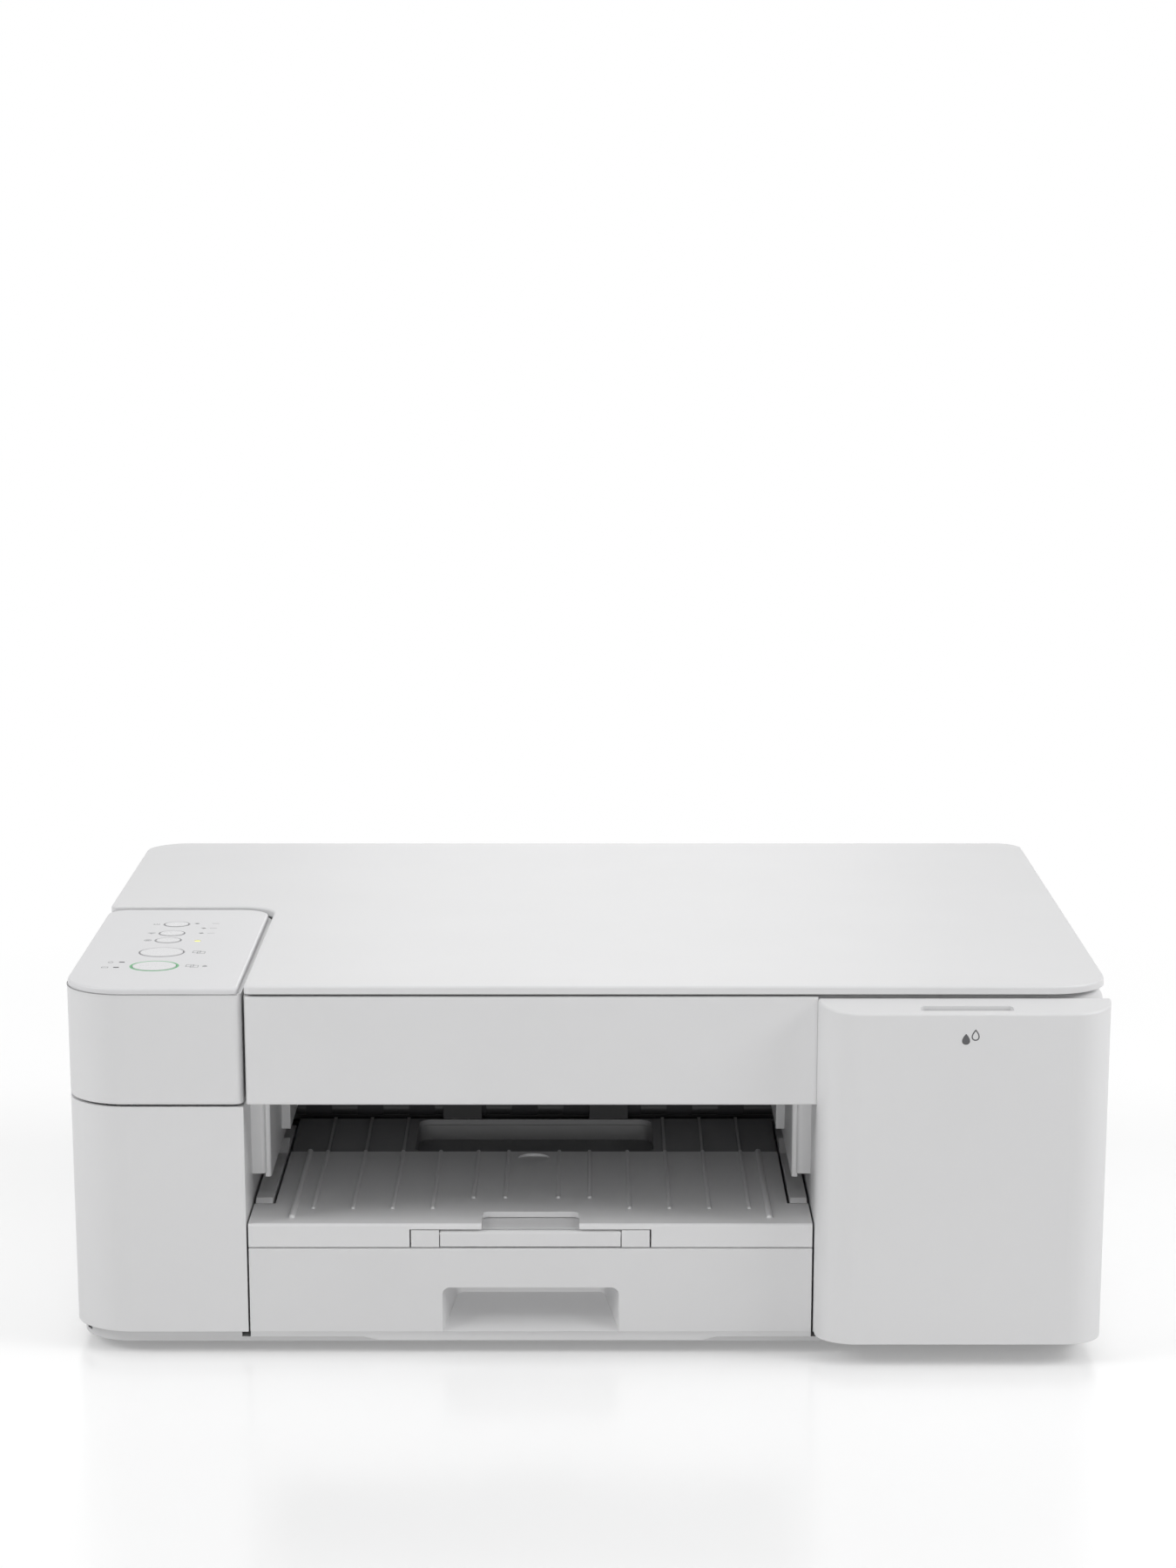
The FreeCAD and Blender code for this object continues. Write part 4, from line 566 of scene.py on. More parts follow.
class PRINTER_OT_button_rings(bpy.types.Operator):
    """Outline each button on the panel with a thin grey ring, painted shade at the edge of the recess round
    its cap, and fill the gap round the cap; the one that starts a colour copy has a lit ring
    """

    bl_idname = "printer.button_rings"
    bl_label = "Button rings"

    def execute(self, context):
        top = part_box("panel_plate")[1].z
        for name in BUTTONS:
            low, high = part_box(name)
            middle = (low + high) / 2
            radius = (high.x - low.x) / 2 - SKIRT
            lit = name == "colour_copy_button"
            width = 0.9 * MM if lit else 0.45 * MM
            inner = radius + BUTTON_GAP
            # The thin grey ring round each plain button is painted shade at the edge of its recess.
            ring = ring_piece(f"{name}_ring", (middle.x, middle.y, top - 0.02 * MM), inner, inner + width,
                              0.1 * MM)
            settle(ring, "scanner_unit", "green" if lit else "print_and_shade_grey")
            # The fill in the gap round the cap: grey painted shade for the plain buttons, lit green for the
            # colour copy button.
            gap_fill = ring_piece(f"{name}_gasket", (middle.x, middle.y, top - 2.0 * MM), radius + 0.04 * MM,
                                inner - 0.03 * MM, 1.7 * MM)
            settle(gap_fill, "scanner_unit", "green" if lit else "seam_shade_grey")
        return {"FINISHED"}


class PRINTER_OT_panel_icons(bpy.types.Operator):
    """Print plain symbols beside the buttons and the two warning lamps"""

    bl_idname = "printer.panel_icons"
    bl_label = "Panel icons"

    def execute(self, context):
        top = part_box("panel_plate")[1].z
        line = 0.32 * MM

        def place(name, beside):
            middle = middle_of(name)
            return at(middle.x + beside, middle.y, top - 0.01 * MM)

        def power(bm):
            spot = place("power_button", -9 * MM)
            add_ribbon(bm, arc(0, 0, 1.3 * MM, 130, 410), line, PRINTED, spot)
            add_ribbon(bm, [(0, 0.3 * MM), (0, 1.8 * MM)], line, PRINTED, spot)

        def wireless(bm):
            spot = place("wifi_button", -9 * MM)
            for radius in (0.9, 1.7, 2.5):
                add_ribbon(bm, arc(0, -1.2 * MM, radius * MM, 45, 135), line, PRINTED, spot)
            add_plate(bm, circle(0, -1.2 * MM, 0.3 * MM, 16), PRINTED, spot)

        def stop(bm):
            spot = place("stop_button", -9 * MM)
            add_ribbon(bm, circle(0, 0, 1.5 * MM), line, PRINTED, spot, closed=True)
            for v in (0.7 * MM, -0.7 * MM):
                add_ribbon(bm, [(-0.7 * MM, -v), (0.7 * MM, v)], line, PRINTED, spot)

        def sheets(bm, name):
            spot = place(name, 16 * MM)
            for u, v in ((-0.9 * MM, 0.7 * MM), (1.1 * MM, -0.7 * MM)):
                add_ribbon(bm, rectangle(u, v, 3.2 * MM, 4.0 * MM), line, PRINTED, spot, closed=True)

        def mono(bm):
            sheets(bm, "mono_copy_button")

        def colour(bm):
            sheets(bm, "colour_copy_button")
            spot = place("colour_copy_button", 21.5 * MM)
            add_plate(bm, teardrop(0, 0, 2.2 * MM, 3.2 * MM), PRINTED, spot)

        def lamp_leads(bm):
            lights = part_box("indicator_lights")
            for k in range(3):
                spot = at(lights[1].x + 1.2 * MM, lights[1].y - (1.1 + 11 * k) * MM, top)
                add_ribbon(bm, [(0, 0), (3.2 * MM, 0)], 0.25 * MM, PRINTED, spot)

        make_piece("panel_icons", "scanner_unit", "print_and_shade_grey",
                   power, wireless, stop, mono, colour, lamp_leads)
        corner = middle_of("colour_copy_button")

        def beside_lamp(left, k):
            return at(corner.x - left - 1.2 * MM * k, corner.y + (8 - 10.8 * k) * MM, top - 0.01 * MM)

        def warnings(bm):
            for k in range(2):
                spot = beside_lamp(14.7 * MM, k)
                add_plate(bm, rectangle(0, 0, 2.4 * MM, 1.3 * MM, 0.4 * MM), 0.12 * MM, spot)

        def warning_marks(bm):
            for k in range(2):
                spot = beside_lamp(19.5 * MM, k)
                if k:
                    add_ribbon(bm, rectangle(0, 0, 2.6 * MM, 2.0 * MM), line, PRINTED, spot, closed=True)
                else:
                    add_ribbon(bm, teardrop(0, 0, 2.0 * MM, 2.8 * MM), line, PRINTED, spot, closed=True)

        make_piece("warning_lamps", "scanner_unit", "mark", warnings)
        make_piece("warning_marks", "scanner_unit", "print_and_shade_grey", warning_marks)
        return {"FINISHED"}


class PRINTER_OT_panel_seam(bpy.types.Operator):
    """Lay the thin shadow line between the panel's surface and the housing under it"""

    bl_idname = "printer.panel_seam"
    bl_label = "Panel seam"

    def execute(self, context):
        low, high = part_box("panel_block")
        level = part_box("panel_plate")[0].z
        out = 0.03 * MM
        points = [(high.x - 1.5 * MM, low.y - out), (low.x + CORNER_FRONT, low.y - out)]
        points += arc(low.x + CORNER_FRONT, low.y + CORNER_FRONT, CORNER_FRONT + out, 270, 180, 24)[1:]
        points += [(low.x - out, high.y - 12 * MM)]
        make_piece("panel_shadow_line", "scanner_unit", "seam_shade_grey",
                   lambda bm: add_ribbon(bm, points, 0.25 * MM, 0.35 * MM, at(0, 0, level - 0.17 * MM)))
        return {"FINISHED"}


class PRINTER_OT_ink_marks(bpy.types.Operator):
    """Print a filled drop and an empty one on the ink cover"""

    bl_idname = "printer.ink_marks"
    bl_label = "Ink marks"

    def execute(self, context):
        low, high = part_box("ink_cover")
        full = at(low.x + 59.7 * MM, low.y + 0.01 * MM, high.z - 13.3 * MM, FACING_FRONT)
        empty = at(low.x + 63.6 * MM, low.y + 0.01 * MM, high.z - 11.6 * MM, FACING_FRONT)
        flat_piece("full_ink_mark", "ink_cover", "mark", teardrop(0, 0, 3.3 * MM, 4.6 * MM), 0.06 * MM, full)
        line_piece("empty_ink_mark", "ink_cover", "mark", teardrop(0, 0, 2.8 * MM, 4.2 * MM),
                   0.5 * MM, 0.06 * MM, empty)
        return {"FINISHED"}


def slats(bm, place, count, pitch, wide, high, thick):
    """A row of raised bars, even about the plane's origin."""
    for k in range(count):
        middle = (k - (count - 1) / 2) * pitch
        add_plate(bm, rectangle(middle, 0, wide, high, 0.45 * wide), thick, place, soft=0.25 * thick)


def vent(name, body, place, count, pitch, high):
    """An air vent: a dark plate behind a row of bars, painted shade for the dark inside seen between them."""
    recess = rectangle(0, 0, (count + 0.4) * pitch, high, 2 * MM)
    flat_piece(f"{name}_recess", body, "seam", recess, PRINTED, place)
    make_piece(f"{name}_bars", body, "shell",
               lambda bm: slats(bm, place, count, pitch, 0.52 * pitch, high, 0.5 * MM))


def screws(name, body, spots, facing, radius=3 * MM, proud=0.45 * MM):
    """Cross-head screws: plated heads, each with a dark cross laid on it, painted shade in the cross's
    recess.
    """
    def heads(bm):
        for spot in spots:
            add_plate(bm, circle(0, 0, radius, 24), proud, at(*spot, facing), soft=0.6 * proud)

    def crosses(bm):
        for spot in spots:
            raised = at(*spot, facing) @ Matrix.Translation((0, 0, proud))
            for wide, high in ((radius, 0.24 * radius), (0.24 * radius, radius)):
                add_plate(bm, rectangle(0, 0, wide, high), 0.02 * MM, raised)

    make_piece(f"{name}_heads", body, "steel", heads)
    # The dark crosses are painted shade in each head's recess.
    make_piece(f"{name}_crosses", body, "mark", crosses)


def mirrored(spots):
    """The same spots on both sides of the printer's middle."""
    return [(side * x, y, z) for x, y, z in spots for side in (-1, 1)]


class PRINTER_OT_deck_ribs(bpy.types.Operator):
    """Lay lighter strips on the long ribs of the output deck's back half: painted highlights where the rib
    tops catch the light
    """

    bl_idname = "printer.deck_ribs"
    bl_label = "Deck ribs"

    def execute(self, context):
        low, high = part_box("output_deck")
        middle = (low.x + high.x) / 2
        start, end, rise = low.y + DECK_FRONT_HALF + 1 * MM, high.y - 0.5 * MM, 0.12 * MM
        near_z, far_z = high.z - BACK_RIB_CLIMB, high.z - 0.03 * MM
        side_view = [(start, near_z), (end, far_z), (end, far_z + rise), (start, near_z + rise)]

        def caps(bm):
            for offset in (93, 76, 59):
                for side in (-1, 1):
                    x = middle + side * offset * MM - 0.6 * MM
                    add_plate(bm, side_view, 1.2 * MM, at(x, 0, 0, FACING_RIGHT))

        # The lighter strips on the rib tops are painted highlights.
        make_piece("deck_rib_highlights", "paper_tray", "rib_highlight", caps)
        return {"FINISHED"}


class PRINTER_OT_back_wall(bpy.types.Operator):
    """Put vents, the rear cover's seam and latches, a bare rating plate and screws on the outside"""

    bl_idname = "printer.back_wall"
    bl_label = "Back wall"

    def execute(self, context):
        low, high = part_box("body_cover")
        back = high.y
        vent("back_vent", "printer", at(146 * MM, back, 62 * MM, FACING_BACK), 13, 6 * MM, 40 * MM)
        vent("left_vent", "printer", at(low.x, 95 * MM, 66 * MM, FACING_LEFT), 12, 6 * MM, 44 * MM)
        cover = at(-4 * MM, back, 62 * MM, FACING_BACK)
        outline = rectangle(0, 0, 186 * MM, 62 * MM, 5 * MM)
        line_piece("rear_cover_seam", "printer", "seam", outline, 0.6 * MM, PRINTED, cover)

        def latches(bm):
            for side in (-1, 1):
                spot = cover @ Matrix.Translation((side * 70 * MM, 24 * MM, 0))
                add_plate(bm, rectangle(0, 0, 20 * MM, 10 * MM, 2 * MM), 0.9 * MM, spot, soft=0.4 * MM)
                raised = spot @ Matrix.Translation((0, 0, 0.8 * MM))
                slats(bm, raised, 5, 2.6 * MM, 1.0 * MM, 7 * MM, 0.4 * MM)

        make_piece("rear_cover_latches", "printer", "panel", latches)
        flat_piece("rating_plate", "printer", "label", rectangle(0, 0, 46 * MM, 24 * MM, 2 * MM), 0.1 * MM,
                   at(-152 * MM, back, 76 * MM, FACING_BACK))
        spots = [(198 * MM, back, z * MM) for z in (24, 98)]
        screws("back_screws", "printer", mirrored(spots), FACING_BACK)
        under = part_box("base_pan")[0].z
        spots = [(x * MM, y * MM, under) for x, y in ((168, -118), (168, 132), (60, 150))]
        screws("base_screws", "printer", mirrored(spots), FACING_DOWN)

        def frames(bm):
            for node in ("power_inlet", "usb_port"):
                first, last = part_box(node)
                middle = (first + last) / 2
                outline = rectangle(0, 0, last.x - first.x + 2 * MM, last.z - first.z + 2 * MM, 1.5 * MM)
                add_ribbon(bm, outline, 0.8 * MM, 0.3 * MM, at(middle.x, back, middle.z, FACING_BACK),
                           closed=True)

        make_piece("socket_frames", "printer", "shell", frames)
        return {"FINISHED"}


class PRINTER_OT_feet(bpy.types.Operator):
    """Ring the feet and stiffen the pan under the printer"""

    bl_idname = "printer.feet"
    bl_label = "Feet"

    def execute(self, context):
        low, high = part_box("rubber_feet")
        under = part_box("base_pan")[0].z

        def rings(bm):
            level = at(0, 0, under - 1.2 * MM)
            for x in (low.x + 8 * MM, high.x - 8 * MM):
                for y in (low.y + 8 * MM, high.y - 8 * MM):
                    add_ribbon(bm, circle(x, y, 11 * MM, 48), 1.5 * MM, 1.2 * MM, level, closed=True)

        def ribs(bm):
            for k in range(-4, 5):
                if k:
                    add_block(bm, (k * 34 * MM - 1 * MM, -110 * MM, under - 1.2 * MM),
                              (k * 34 * MM + 1 * MM, 140 * MM, under + 0.4 * MM))

        make_piece("foot_rings", "printer", "base", rings)
        make_piece("pan_ribs", "printer", "base", ribs)
        return {"FINISHED"}


def tick_length(k):
    """Every fifth line of the glass's ruler is long."""
    return 3.4 * MM if k % 5 == 0 else 1.8 * MM


class PRINTER_OT_scan_bed(bpy.types.Operator):
    """Frame the glass with a bezel, its ruler and its corner arrow, and fit the scan bar's window"""

    bl_idname = "printer.scan_bed"
    bl_label = "Scan bed"

    def execute(self, context):
        low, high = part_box("scan_glass")
        middle = (low + high) / 2
        wide, deep = high.x - low.x, high.y - low.y
        top = high.z
        bezel = rectangle(middle.x, middle.y, wide + 5 * MM, deep + 5 * MM)
        line_piece("scan_bezel", "scanner_unit", "mark", bezel, 6 * MM, 0.12 * MM, at(0, 0, top))

        def ruler(bm):
            ends = []
            for k in range(1, int(deep / (10 * MM))):
                x, y = low.x - 0.2 * MM, high.y - k * 10 * MM
                ends.append([(x - tick_length(k), y), (x, y)])
            for k in range(1, int(wide / (10 * MM))):
                x, y = low.x + k * 10 * MM, high.y + 0.2 * MM
                ends.append([(x, y), (x, y + tick_length(k))])
            for pair in ends:
                add_ribbon(bm, pair, 0.3 * MM, PRINTED, at(0, 0, top + 0.1 * MM))

        def arrow(bm):
            corner = at(low.x - 2.6 * MM, high.y + 2.6 * MM, top + 0.1 * MM)
            add_plate(bm, [(0, 0), (-2.2 * MM, -0.6 * MM), (-0.6 * MM, 2.2 * MM)][::-1], PRINTED, corner)

        make_piece("scan_ruler", "scanner_unit", "shell", ruler, arrow)
        low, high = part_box("cis_bar")
        middle = (low + high) / 2
        along = 0.94 * (high.y - low.y)
        lens = rectangle(middle.x + 1.5 * MM, middle.y, 3 * MM, along)
        flat_piece("cis_window", "scan_bar", "clear", lens, 0.5 * MM, at(0, 0, high.z))
        light = rectangle(middle.x - 2.5 * MM, middle.y, 2 * MM, along)
        flat_piece("cis_light", "scan_bar", "foam", light, 0.4 * MM, at(0, 0, high.z))

        def spacers(bm):
            for y in (low.y + 4 * MM, high.y - 4 * MM):
                add_block(bm, (low.x + 2 * MM, y - 3 * MM, high.z - 0.2 * MM),
                          (high.x - 2 * MM, y + 3 * MM, high.z + 1.6 * MM), 0.6 * MM)

        make_piece("cis_spacers", "scan_bar", "gear", spacers)
        return {"FINISHED"}


class PRINTER_OT_print_head(bpy.types.Operator):
    """Give the carriage its latch and ribs, and hang the clear strip that it reads"""

    bl_idname = "printer.print_head"
    bl_label = "Print head"

    def execute(self, context):
        low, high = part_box("print_carriage")
        top = high.z
        middle = (low.x + high.x) / 2

        def ribs(bm):
            for k in range(9):
                x = low.x + (10 + 8 * k) * MM
                add_block(bm, (x - 0.6 * MM, low.y + 34 * MM, top - 0.2 * MM),
                          (x + 0.6 * MM, high.y - 16 * MM, top + 0.9 * MM))

        def latch(bm):
            add_block(bm, (middle - 24 * MM, low.y + 6 * MM, top - 0.2 * MM),
                      (middle + 24 * MM, low.y + 20 * MM, top + 1.8 * MM), 0.8 * MM, 3)
            for k in range(6):
                x = middle + (k - 2.5) * 4 * MM
                add_block(bm, (x - 0.7 * MM, low.y + 8 * MM, top + 1.5 * MM),
                          (x + 0.7 * MM, low.y + 18 * MM, top + 2.4 * MM))

        make_piece("carriage_ribs", "carriage", "black", ribs)
        make_piece("carriage_latch", "carriage", "latch", latch)
        for k, ink in enumerate(INKS):
            spot = at(low.x + (14 + 18.6 * k) * MM, low.y + 27 * MM, top)
            flat_piece(f"carriage_{ink}_mark", "carriage", f"ink_{ink}",
                       rectangle(0, 0, 9 * MM, 6 * MM, 1 * MM), 0.15 * MM, spot)

        def teeth(bm):
            first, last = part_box("carriage_belt")
            for k in range(int((last.x - first.x - 26 * MM) / (2.5 * MM))):
                x = first.x + 13 * MM + 2.5 * MM * k
                for z, way in ((first.z + 1.2 * MM, 1), (last.z - 1.2 * MM, -1)):
                    low_z, high_z = sorted((z, z + way * 0.5 * MM))
                    add_block(bm, (x, first.y + 0.3 * MM, low_z),
                              (x + 1.2 * MM, last.y - 0.3 * MM, high_z), 0)

        make_piece("belt_teeth", "printer", "rubber", teeth)
        rail_low, rail_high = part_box("carriage_rail")
        strip_y = rail_low.y - 4 * MM
        make_piece("encoder_strip", "printer", "clear",
                   lambda bm: add_block(bm, (rail_low.x + 1 * MM, strip_y, top + 0.7 * MM),
                                        (rail_high.x - 1 * MM, strip_y + 0.2 * MM, top + 3.4 * MM), 0))
        ends = [(x, rail_low.y, 90 * MM) for x in (rail_low.x + 12 * MM, rail_high.x - 8 * MM)]
        screws("chassis_screws", "printer", ends, FACING_FRONT, 2.6 * MM)
        return {"FINISHED"}


FIRST_BAND = -130 * MM  # where the rollers' bands start
BANDED = 216 * MM  # length that the bands share


class PRINTER_OT_roller_bands(bpy.types.Operator):
    """Band the feed and eject rollers where they grip the sheet"""

    bl_idname = "printer.roller_bands"
    bl_label = "Roller bands"

    def execute(self, context):
        for roller, count, radius in (("feed_roller", 6, 6.0 * MM), ("eject_roller", 9, 3.6 * MM)):
            middle = middle_of(roller)
            pitch = BANDED / count
            for k in range(count):
                band = ring_piece(f"{roller}_band_{k}", (FIRST_BAND + k * pitch, middle.y, middle.z),
                                  radius - 0.2 * MM, radius + 0.22 * MM, 0.5 * pitch, axis="x", steps=40)
                settle(band, roller, "rubber")
        return {"FINISHED"}


class PRINTER_OT_ink_labels(bpy.types.Operator):
    """Label the cartridges by colour, rib their grips and mark their slots"""

    bl_idname = "printer.ink_labels"
    bl_label = "Ink labels"

    def execute(self, context):
        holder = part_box("cartridge_holder")
        slot_mark = rectangle(0, 0, 9 * MM, 4 * MM, 0.8 * MM)
        for ink in INKS:
            low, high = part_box(f"cartridge_{ink}")
            middle, wide = (low.x + high.x) / 2, high.x - low.x
            face = at(middle, low.y, low.z + 25 * MM, FACING_FRONT)
            label = rectangle(0, 0, wide - 5 * MM, 36 * MM, 1.5 * MM)
            flat_piece(f"{ink}_label", "printer", "paper", label, 0.12 * MM, face)
            spot = face @ Matrix.Translation((0, 4 * MM, 0.11 * MM))
            flat_piece(f"{ink}_drop", "printer", f"ink_{ink}", teardrop(0, 0, 8 * MM, 13 * MM), PRINTED, spot)
            grip = at(middle, low.y + 2 * MM, high.z - 10 * MM, FACING_FRONT)

            def ribs(bm):
                for k in range(4):
                    rib = rectangle(0, (k - 1.5) * 4 * MM, wide - 6 * MM, 1.4 * MM, 0.6 * MM)
                    add_plate(bm, rib, 0.8 * MM, grip, soft=0.3 * MM)

            make_piece(f"{ink}_grip", "printer", f"ink_{ink}", ribs)
            for name, place in (("top", at(middle, holder[0].y + 6 * MM, holder[1].z)),
                                ("front", at(middle, holder[0].y, low.z - 5 * MM, FACING_FRONT))):
                flat_piece(f"{ink}_slot_{name}", "printer", f"ink_{ink}", slot_mark, 0.15 * MM, place)
        return {"FINISHED"}


# Each chip's place along and up the main board, and its two sides; then half of a capacitor's outline (mm).
CHIPS = ((60, 44, 20, 20), (92, 46, 12, 16), (30, 40, 10, 10), (30, 58, 8, 6), (110, 24, 9, 6))
CAN = ((0, 0), (3.6, 0), (4, 0.6), (4, 9), (3.6, 9.6), (0, 9.6))


class PRINTER_OT_electronics(bpy.types.Operator):
    """Fit parts to the main board, and ribs and screws to the supply"""

    bl_idname = "printer.electronics"
    bl_label = "Electronics"

    def execute(self, context):
        low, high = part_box("main_board")
        face = high.x

        def chips(bm):
            for y, z, deep, tall in CHIPS:
                add_block(bm, (face - 0.1 * MM, low.y + (y - deep / 2) * MM, low.z + (z - tall / 2) * MM),
                          (face + 1.6 * MM, low.y + (y + deep / 2) * MM, low.z + (z + tall / 2) * MM))

        def sockets(bm):
            for k in range(5):
                y = low.y + (14 + 23 * k) * MM
                add_block(bm, (face - 0.1 * MM, y, high.z - 9 * MM),
                          (face + 6 * MM, y + (10 + 2 * k) * MM, high.z - 3 * MM), 0.5 * MM)

        def cans(bm):
            side = [(radius * MM, out * MM) for radius, out in CAN]
            for y, z in ((14, 14), (26, 14), (44, 16), (74, 14)):
                add_lathe(bm, (face - 0.1 * MM, low.y + y * MM, low.z + z * MM), side, "x", 24)

        make_piece("board_chips", "printer", "mark", chips)
        make_piece("board_sockets", "printer", "gear", sockets)
        make_piece("board_cans", "printer", "dark_steel", cans)
        low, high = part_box("power_supply")
        middle = (low + high) / 2
        turned = at(middle.x, middle.y, high.z) @ Matrix.Rotation(math.radians(90), 4, "Z")
        make_piece("supply_ribs", "printer", "black",
                   lambda bm: slats(bm, turned, 10, 7 * MM, 3 * MM, 28 * MM, 0.8 * MM))
        corners = [(low.x + 5 * MM, low.y + 5 * MM, high.z), (high.x - 5 * MM, high.y - 5 * MM, high.z)]
        screws("supply_screws", "printer", corners, FACING_UP, 2.5 * MM)
        return {"FINISHED"}


class PRINTER_OT_tray_marks(bpy.types.Operator):
    """Print the sheet sizes' lines on the tray's floor and glue in its friction pads"""

    bl_idname = "printer.tray_marks"
    bl_label = "Tray marks"

    def execute(self, context):
        pinion = middle_of("guide_pinion")
        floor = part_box("guide_pinion")[0].z - 0.3 * MM

        def lines(bm):
            for k in range(10):
                y = 44 * MM + 8 * MM * k
                long = 9 * MM if k % 3 == 0 else 5 * MM
                for side in (-1, 1):
                    x = pinion.x + side * 104 * MM
                    add_ribbon(bm, [(x, y), (x - side * long, y)], 0.5 * MM, PRINTED, at(0, 0, floor))

        def pads(bm):
            for side in (-1, 1):
                pad = rectangle(pinion.x + side * 9 * MM, 96 * MM, 13 * MM, 22 * MM, 2 * MM)
                add_plate(bm, pad, 0.25 * MM, at(0, 0, floor))

        make_piece("tray_lines", "paper_tray", "print_and_shade_grey", lines)
        make_piece("tray_pads", "paper_tray", "cork", pads)
        for end, (name, facing) in enumerate((("left", FACING_LEFT), ("right", FACING_RIGHT))):
            node = f"side_guide_{name}"
            out = (2 * end - 1) * 0.02 * MM
            grip = at(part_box(node)[end].x + out, middle_of(node).y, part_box(node)[1].z - 5 * MM, facing)
            make_piece(f"{node}_grip", f"{name}_guide", "latch",
                       lambda bm: slats(bm, grip, 5, 3 * MM, 1.6 * MM, 8 * MM, 0.6 * MM))
        return {"FINISHED"}


class PRINTER_OT_stage(bpy.types.Operator):
    """Set the floor, the lamps, the world and the camera"""

    bl_idname = "printer.stage"
    bl_label = "Stage"

    def execute(self, context):
        stage = context.scene.printer_stage
        make_floor(stage)
        make_world(stage)
        make_lamps()
        make_camera(stage)
        context.scene.view_settings.view_transform = "Standard"
        return {"FINISHED"}


FADE_FROM, FADE_TO = 0.4, 0.8  # metres from the middle over which the floor turns pure white


def make_floor(stage):
    """A wide floor that mirrors the printer faintly and keeps its shadow, and is pure white further off."""
    bm = bmesh.new()
    bmesh.ops.create_grid(bm, x_segments=1, y_segments=1, size=6)
    floor = piece_from(bm, "floor")
    made, nodes, links, shader, place = new_material("white_floor")
    shader.inputs["Base Color"].default_value = (*stage.floor, 1)
    links.new(spread(nodes, links, noise(nodes, links, place, 6.0), 0.16, 0.20), shader.inputs["Roughness"])
    glow = nodes.new("ShaderNodeEmission")
    glow.inputs["Strength"].default_value = stage.floor_glow
    both = nodes.new("ShaderNodeAddShader")
    links.new(shader.outputs[0], both.inputs[0])
    links.new(glow.outputs[0], both.inputs[1])
    reach = nodes.new("ShaderNodeVectorMath")
    reach.operation = "LENGTH"
    links.new(place, reach.inputs[0])
    fade = nodes.new("ShaderNodeMapRange")
    fade.inputs["From Min"].default_value = FADE_FROM
    fade.inputs["From Max"].default_value = FADE_TO
    links.new(reach.outputs["Value"], fade.inputs["Value"])
    white = nodes.new("ShaderNodeEmission")
    seen = nodes.new("ShaderNodeMixShader")
    links.new(fade.outputs["Result"], seen.inputs["Fac"])
    links.new(both.outputs[0], seen.inputs[1])
    links.new(white.outputs[0], seen.inputs[2])
    mix = nodes.new("ShaderNodeMixShader")
    links.new(seen_directly(nodes, links), mix.inputs["Fac"])
    links.new(shader.outputs[0], mix.inputs[1])
    links.new(seen.outputs[0], mix.inputs[2])
    links.new(mix.outputs[0], nodes["Material Output"].inputs["Surface"])
    floor.data.materials.append(made)


def seen_directly(nodes, links):
    """One where the camera, a gloss or a glass looks straight at something, and zero for its light."""
    rays = nodes.new("ShaderNodeLightPath")
    result = rays.outputs["Is Camera Ray"]
    for other in ("Is Glossy Ray", "Is Transmission Ray"):
        either = nodes.new("ShaderNodeMath")
        either.operation = "MAXIMUM"
        links.new(result, either.inputs[0])
        links.new(rays.outputs[other], either.inputs[1])
        result = either.outputs[0]
    return result


def make_world(stage):
    """Even light all round; white wherever the camera, gloss or glass sees it."""
    world = bpy.data.worlds.new("studio")
    world.use_nodes = True
    bpy.context.scene.world = world
    nodes, links = world.node_tree.nodes, world.node_tree.links
    light = nodes["Background"]
    light.inputs["Color"].default_value = (1, 1, 1, 1)
    light.inputs["Strength"].default_value = stage.sky
    white = nodes.new("ShaderNodeBackground")
    white.inputs["Strength"].default_value = 1.0
    white.inputs["Color"].default_value = (1, 1, 1, 1)
    mix = nodes.new("ShaderNodeMixShader")
    links.new(seen_directly(nodes, links), mix.inputs["Fac"])
    links.new(light.outputs[0], mix.inputs[1])
    links.new(white.outputs[0], mix.inputs[2])
    links.new(mix.outputs[0], nodes["World Output"].inputs["Surface"])


def area_lamp(name, place, aim, size, power):
    """A rectangular lamp that points at a spot and isn't seen itself."""
    data = bpy.data.lights.new(name, "AREA")
    data.shape = "RECTANGLE"
    data.size, data.size_y = size
    data.energy = power
    made = bpy.data.objects.new(name, data)
    bpy.context.scene.collection.objects.link(made)
    made.location = place
    made.visible_camera = False
    made.rotation_euler = (Vector(aim) - Vector(place)).to_track_quat("-Z", "Y").to_euler()


# Name, place, the spot it points at, size in metres and power in watts.
LAMPS = (
    ("overhead", (0, 0, 1.9), (0, 0, 0.1), (2.0, 1.6), 9),
    ("left_side", (-1.7, -0.5, 1.25), (0, -0.05, 0.08), (1.2, 0.8), 15),
    ("right_side", (1.7, -0.45, 1.25), (0, -0.05, 0.08), (1.2, 0.8), 19),
    ("front", (0, -2.4, 0.3), (0, -0.1, 0.08), (1.4, 0.5), 10),
    ("behind", (0.02, 2.2, 0.62), (0, 0, 0.15), (0.6, 0.5), 1.8),
)


def make_lamps():
    """A broad lamp overhead, one high at each side, one low in front and a weak one low behind."""
    for lamp in LAMPS:
        area_lamp(*lamp)


SENSOR = 36  # width in millimetres
SHIFT = 0.0019, 0.243


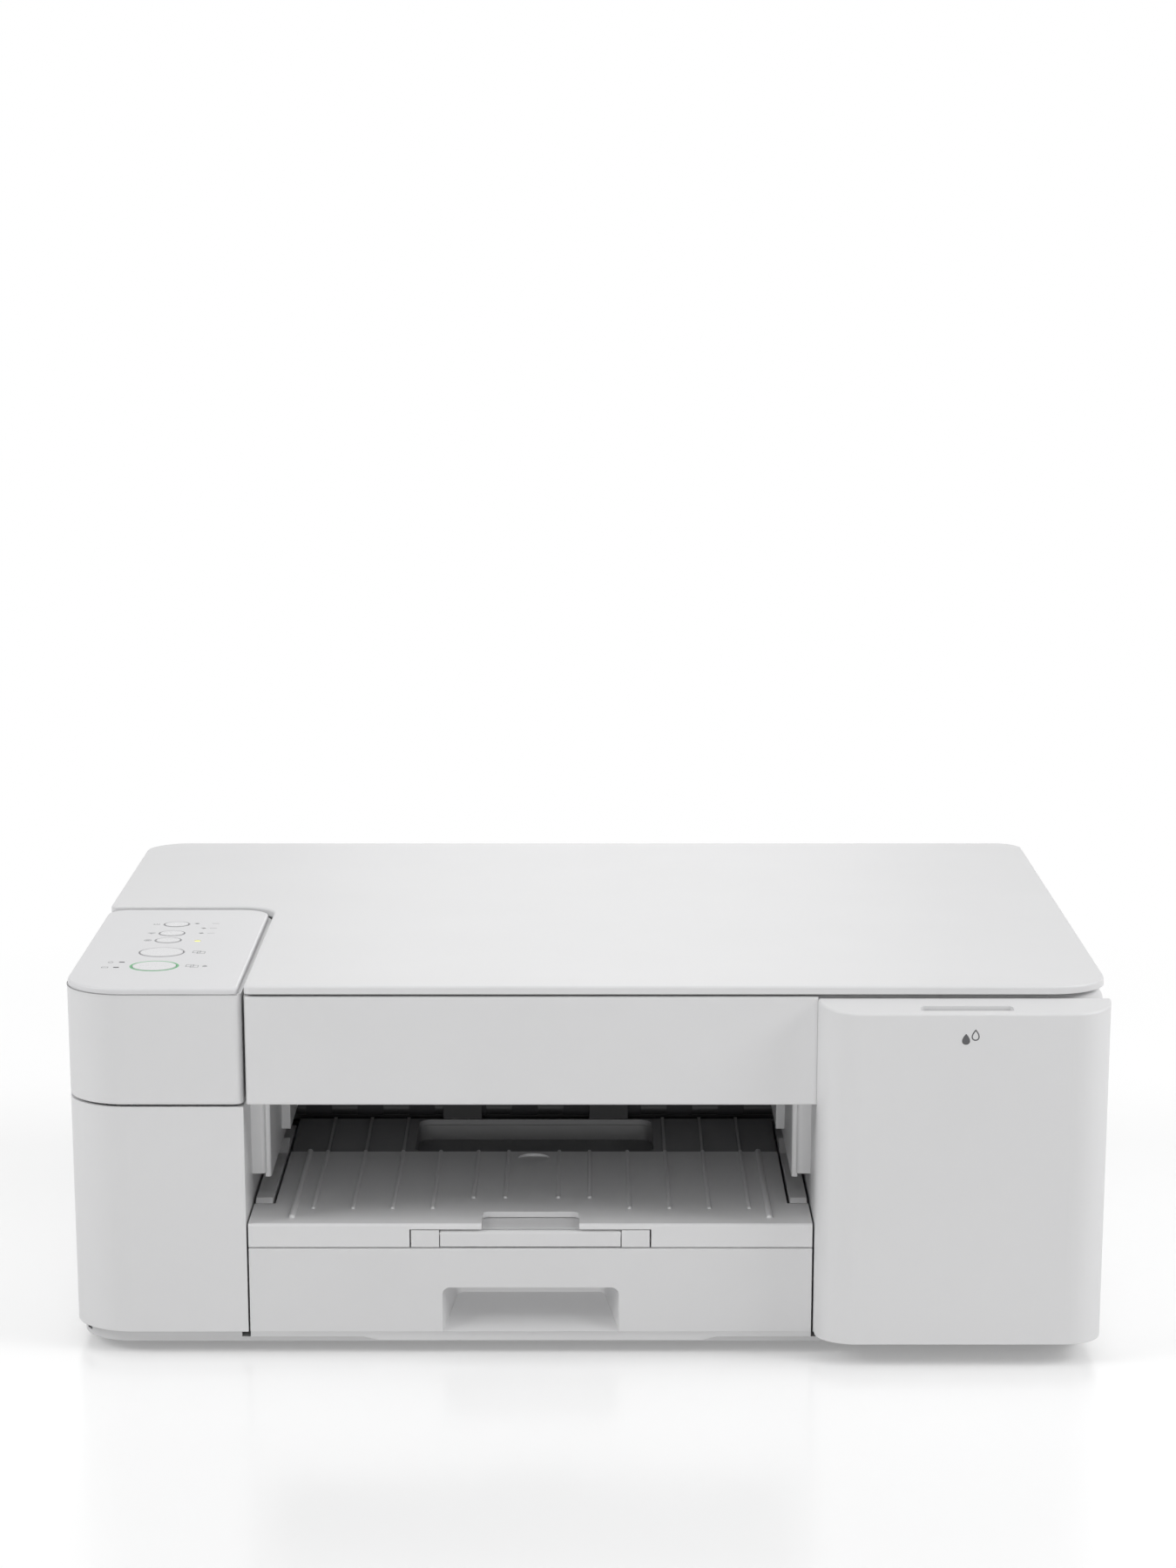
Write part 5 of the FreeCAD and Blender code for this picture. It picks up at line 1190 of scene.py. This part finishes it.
def make_camera(stage):
    """A camera in front and a little above, tilted down, with its film shifted to frame the printer."""
    data = bpy.data.cameras.new("camera")
    data.lens = stage.camera_lens
    data.sensor_width = SENSOR
    data.shift_x, data.shift_y = SHIFT
    data.clip_start, data.clip_end = 0.05, 40
    made = bpy.data.objects.new("camera", data)
    bpy.context.scene.collection.objects.link(made)
    made.location = (0, -stage.camera_back, stage.camera_height)
    made.rotation_euler = (math.radians(90) - stage.camera_tilt, 0, 0)
    bpy.context.scene.camera = made


class PRINTER_PT_panel(bpy.types.Panel):
    """The printer's settings and steps"""

    bl_label = "Printer"
    bl_idname = "PRINTER_PT_panel"
    bl_space_type = "VIEW_3D"
    bl_region_type = "UI"
    bl_category = "Printer"

    def draw(self, context):
        for group in (context.scene.printer_finish, context.scene.printer_stage):
            for key in group.bl_rna.properties.keys():
                if key not in ("rna_type", "name"):
                    self.layout.prop(group, key)
        for step in STEPS:
            self.layout.operator(step.bl_idname)


STEPS = (
    PRINTER_OT_finishes,
    PRINTER_OT_button_rings,
    PRINTER_OT_panel_icons,
    PRINTER_OT_panel_seam,
    PRINTER_OT_ink_marks,
    PRINTER_OT_deck_ribs,
    PRINTER_OT_back_wall,
    PRINTER_OT_feet,
    PRINTER_OT_scan_bed,
    PRINTER_OT_print_head,
    PRINTER_OT_roller_bands,
    PRINTER_OT_ink_labels,
    PRINTER_OT_electronics,
    PRINTER_OT_tray_marks,
    PRINTER_OT_stage,
)
CLASSES = (PrinterFinish, PrinterStage, *STEPS, PRINTER_PT_panel)


def register():
    for cls in CLASSES:
        bpy.utils.register_class(cls)
    bpy.types.Scene.printer_finish = bpy.props.PointerProperty(type=PrinterFinish)
    bpy.types.Scene.printer_stage = bpy.props.PointerProperty(type=PrinterStage)


def unregister():
    del bpy.types.Scene.printer_stage
    del bpy.types.Scene.printer_finish
    for cls in reversed(CLASSES):
        bpy.utils.unregister_class(cls)


def main():
    """Registers the add-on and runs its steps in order."""
    register()
    for step in STEPS:
        group, name = step.bl_idname.split(".")
        getattr(getattr(bpy.ops, group), name)()


if __name__ == "__main__":
    main()
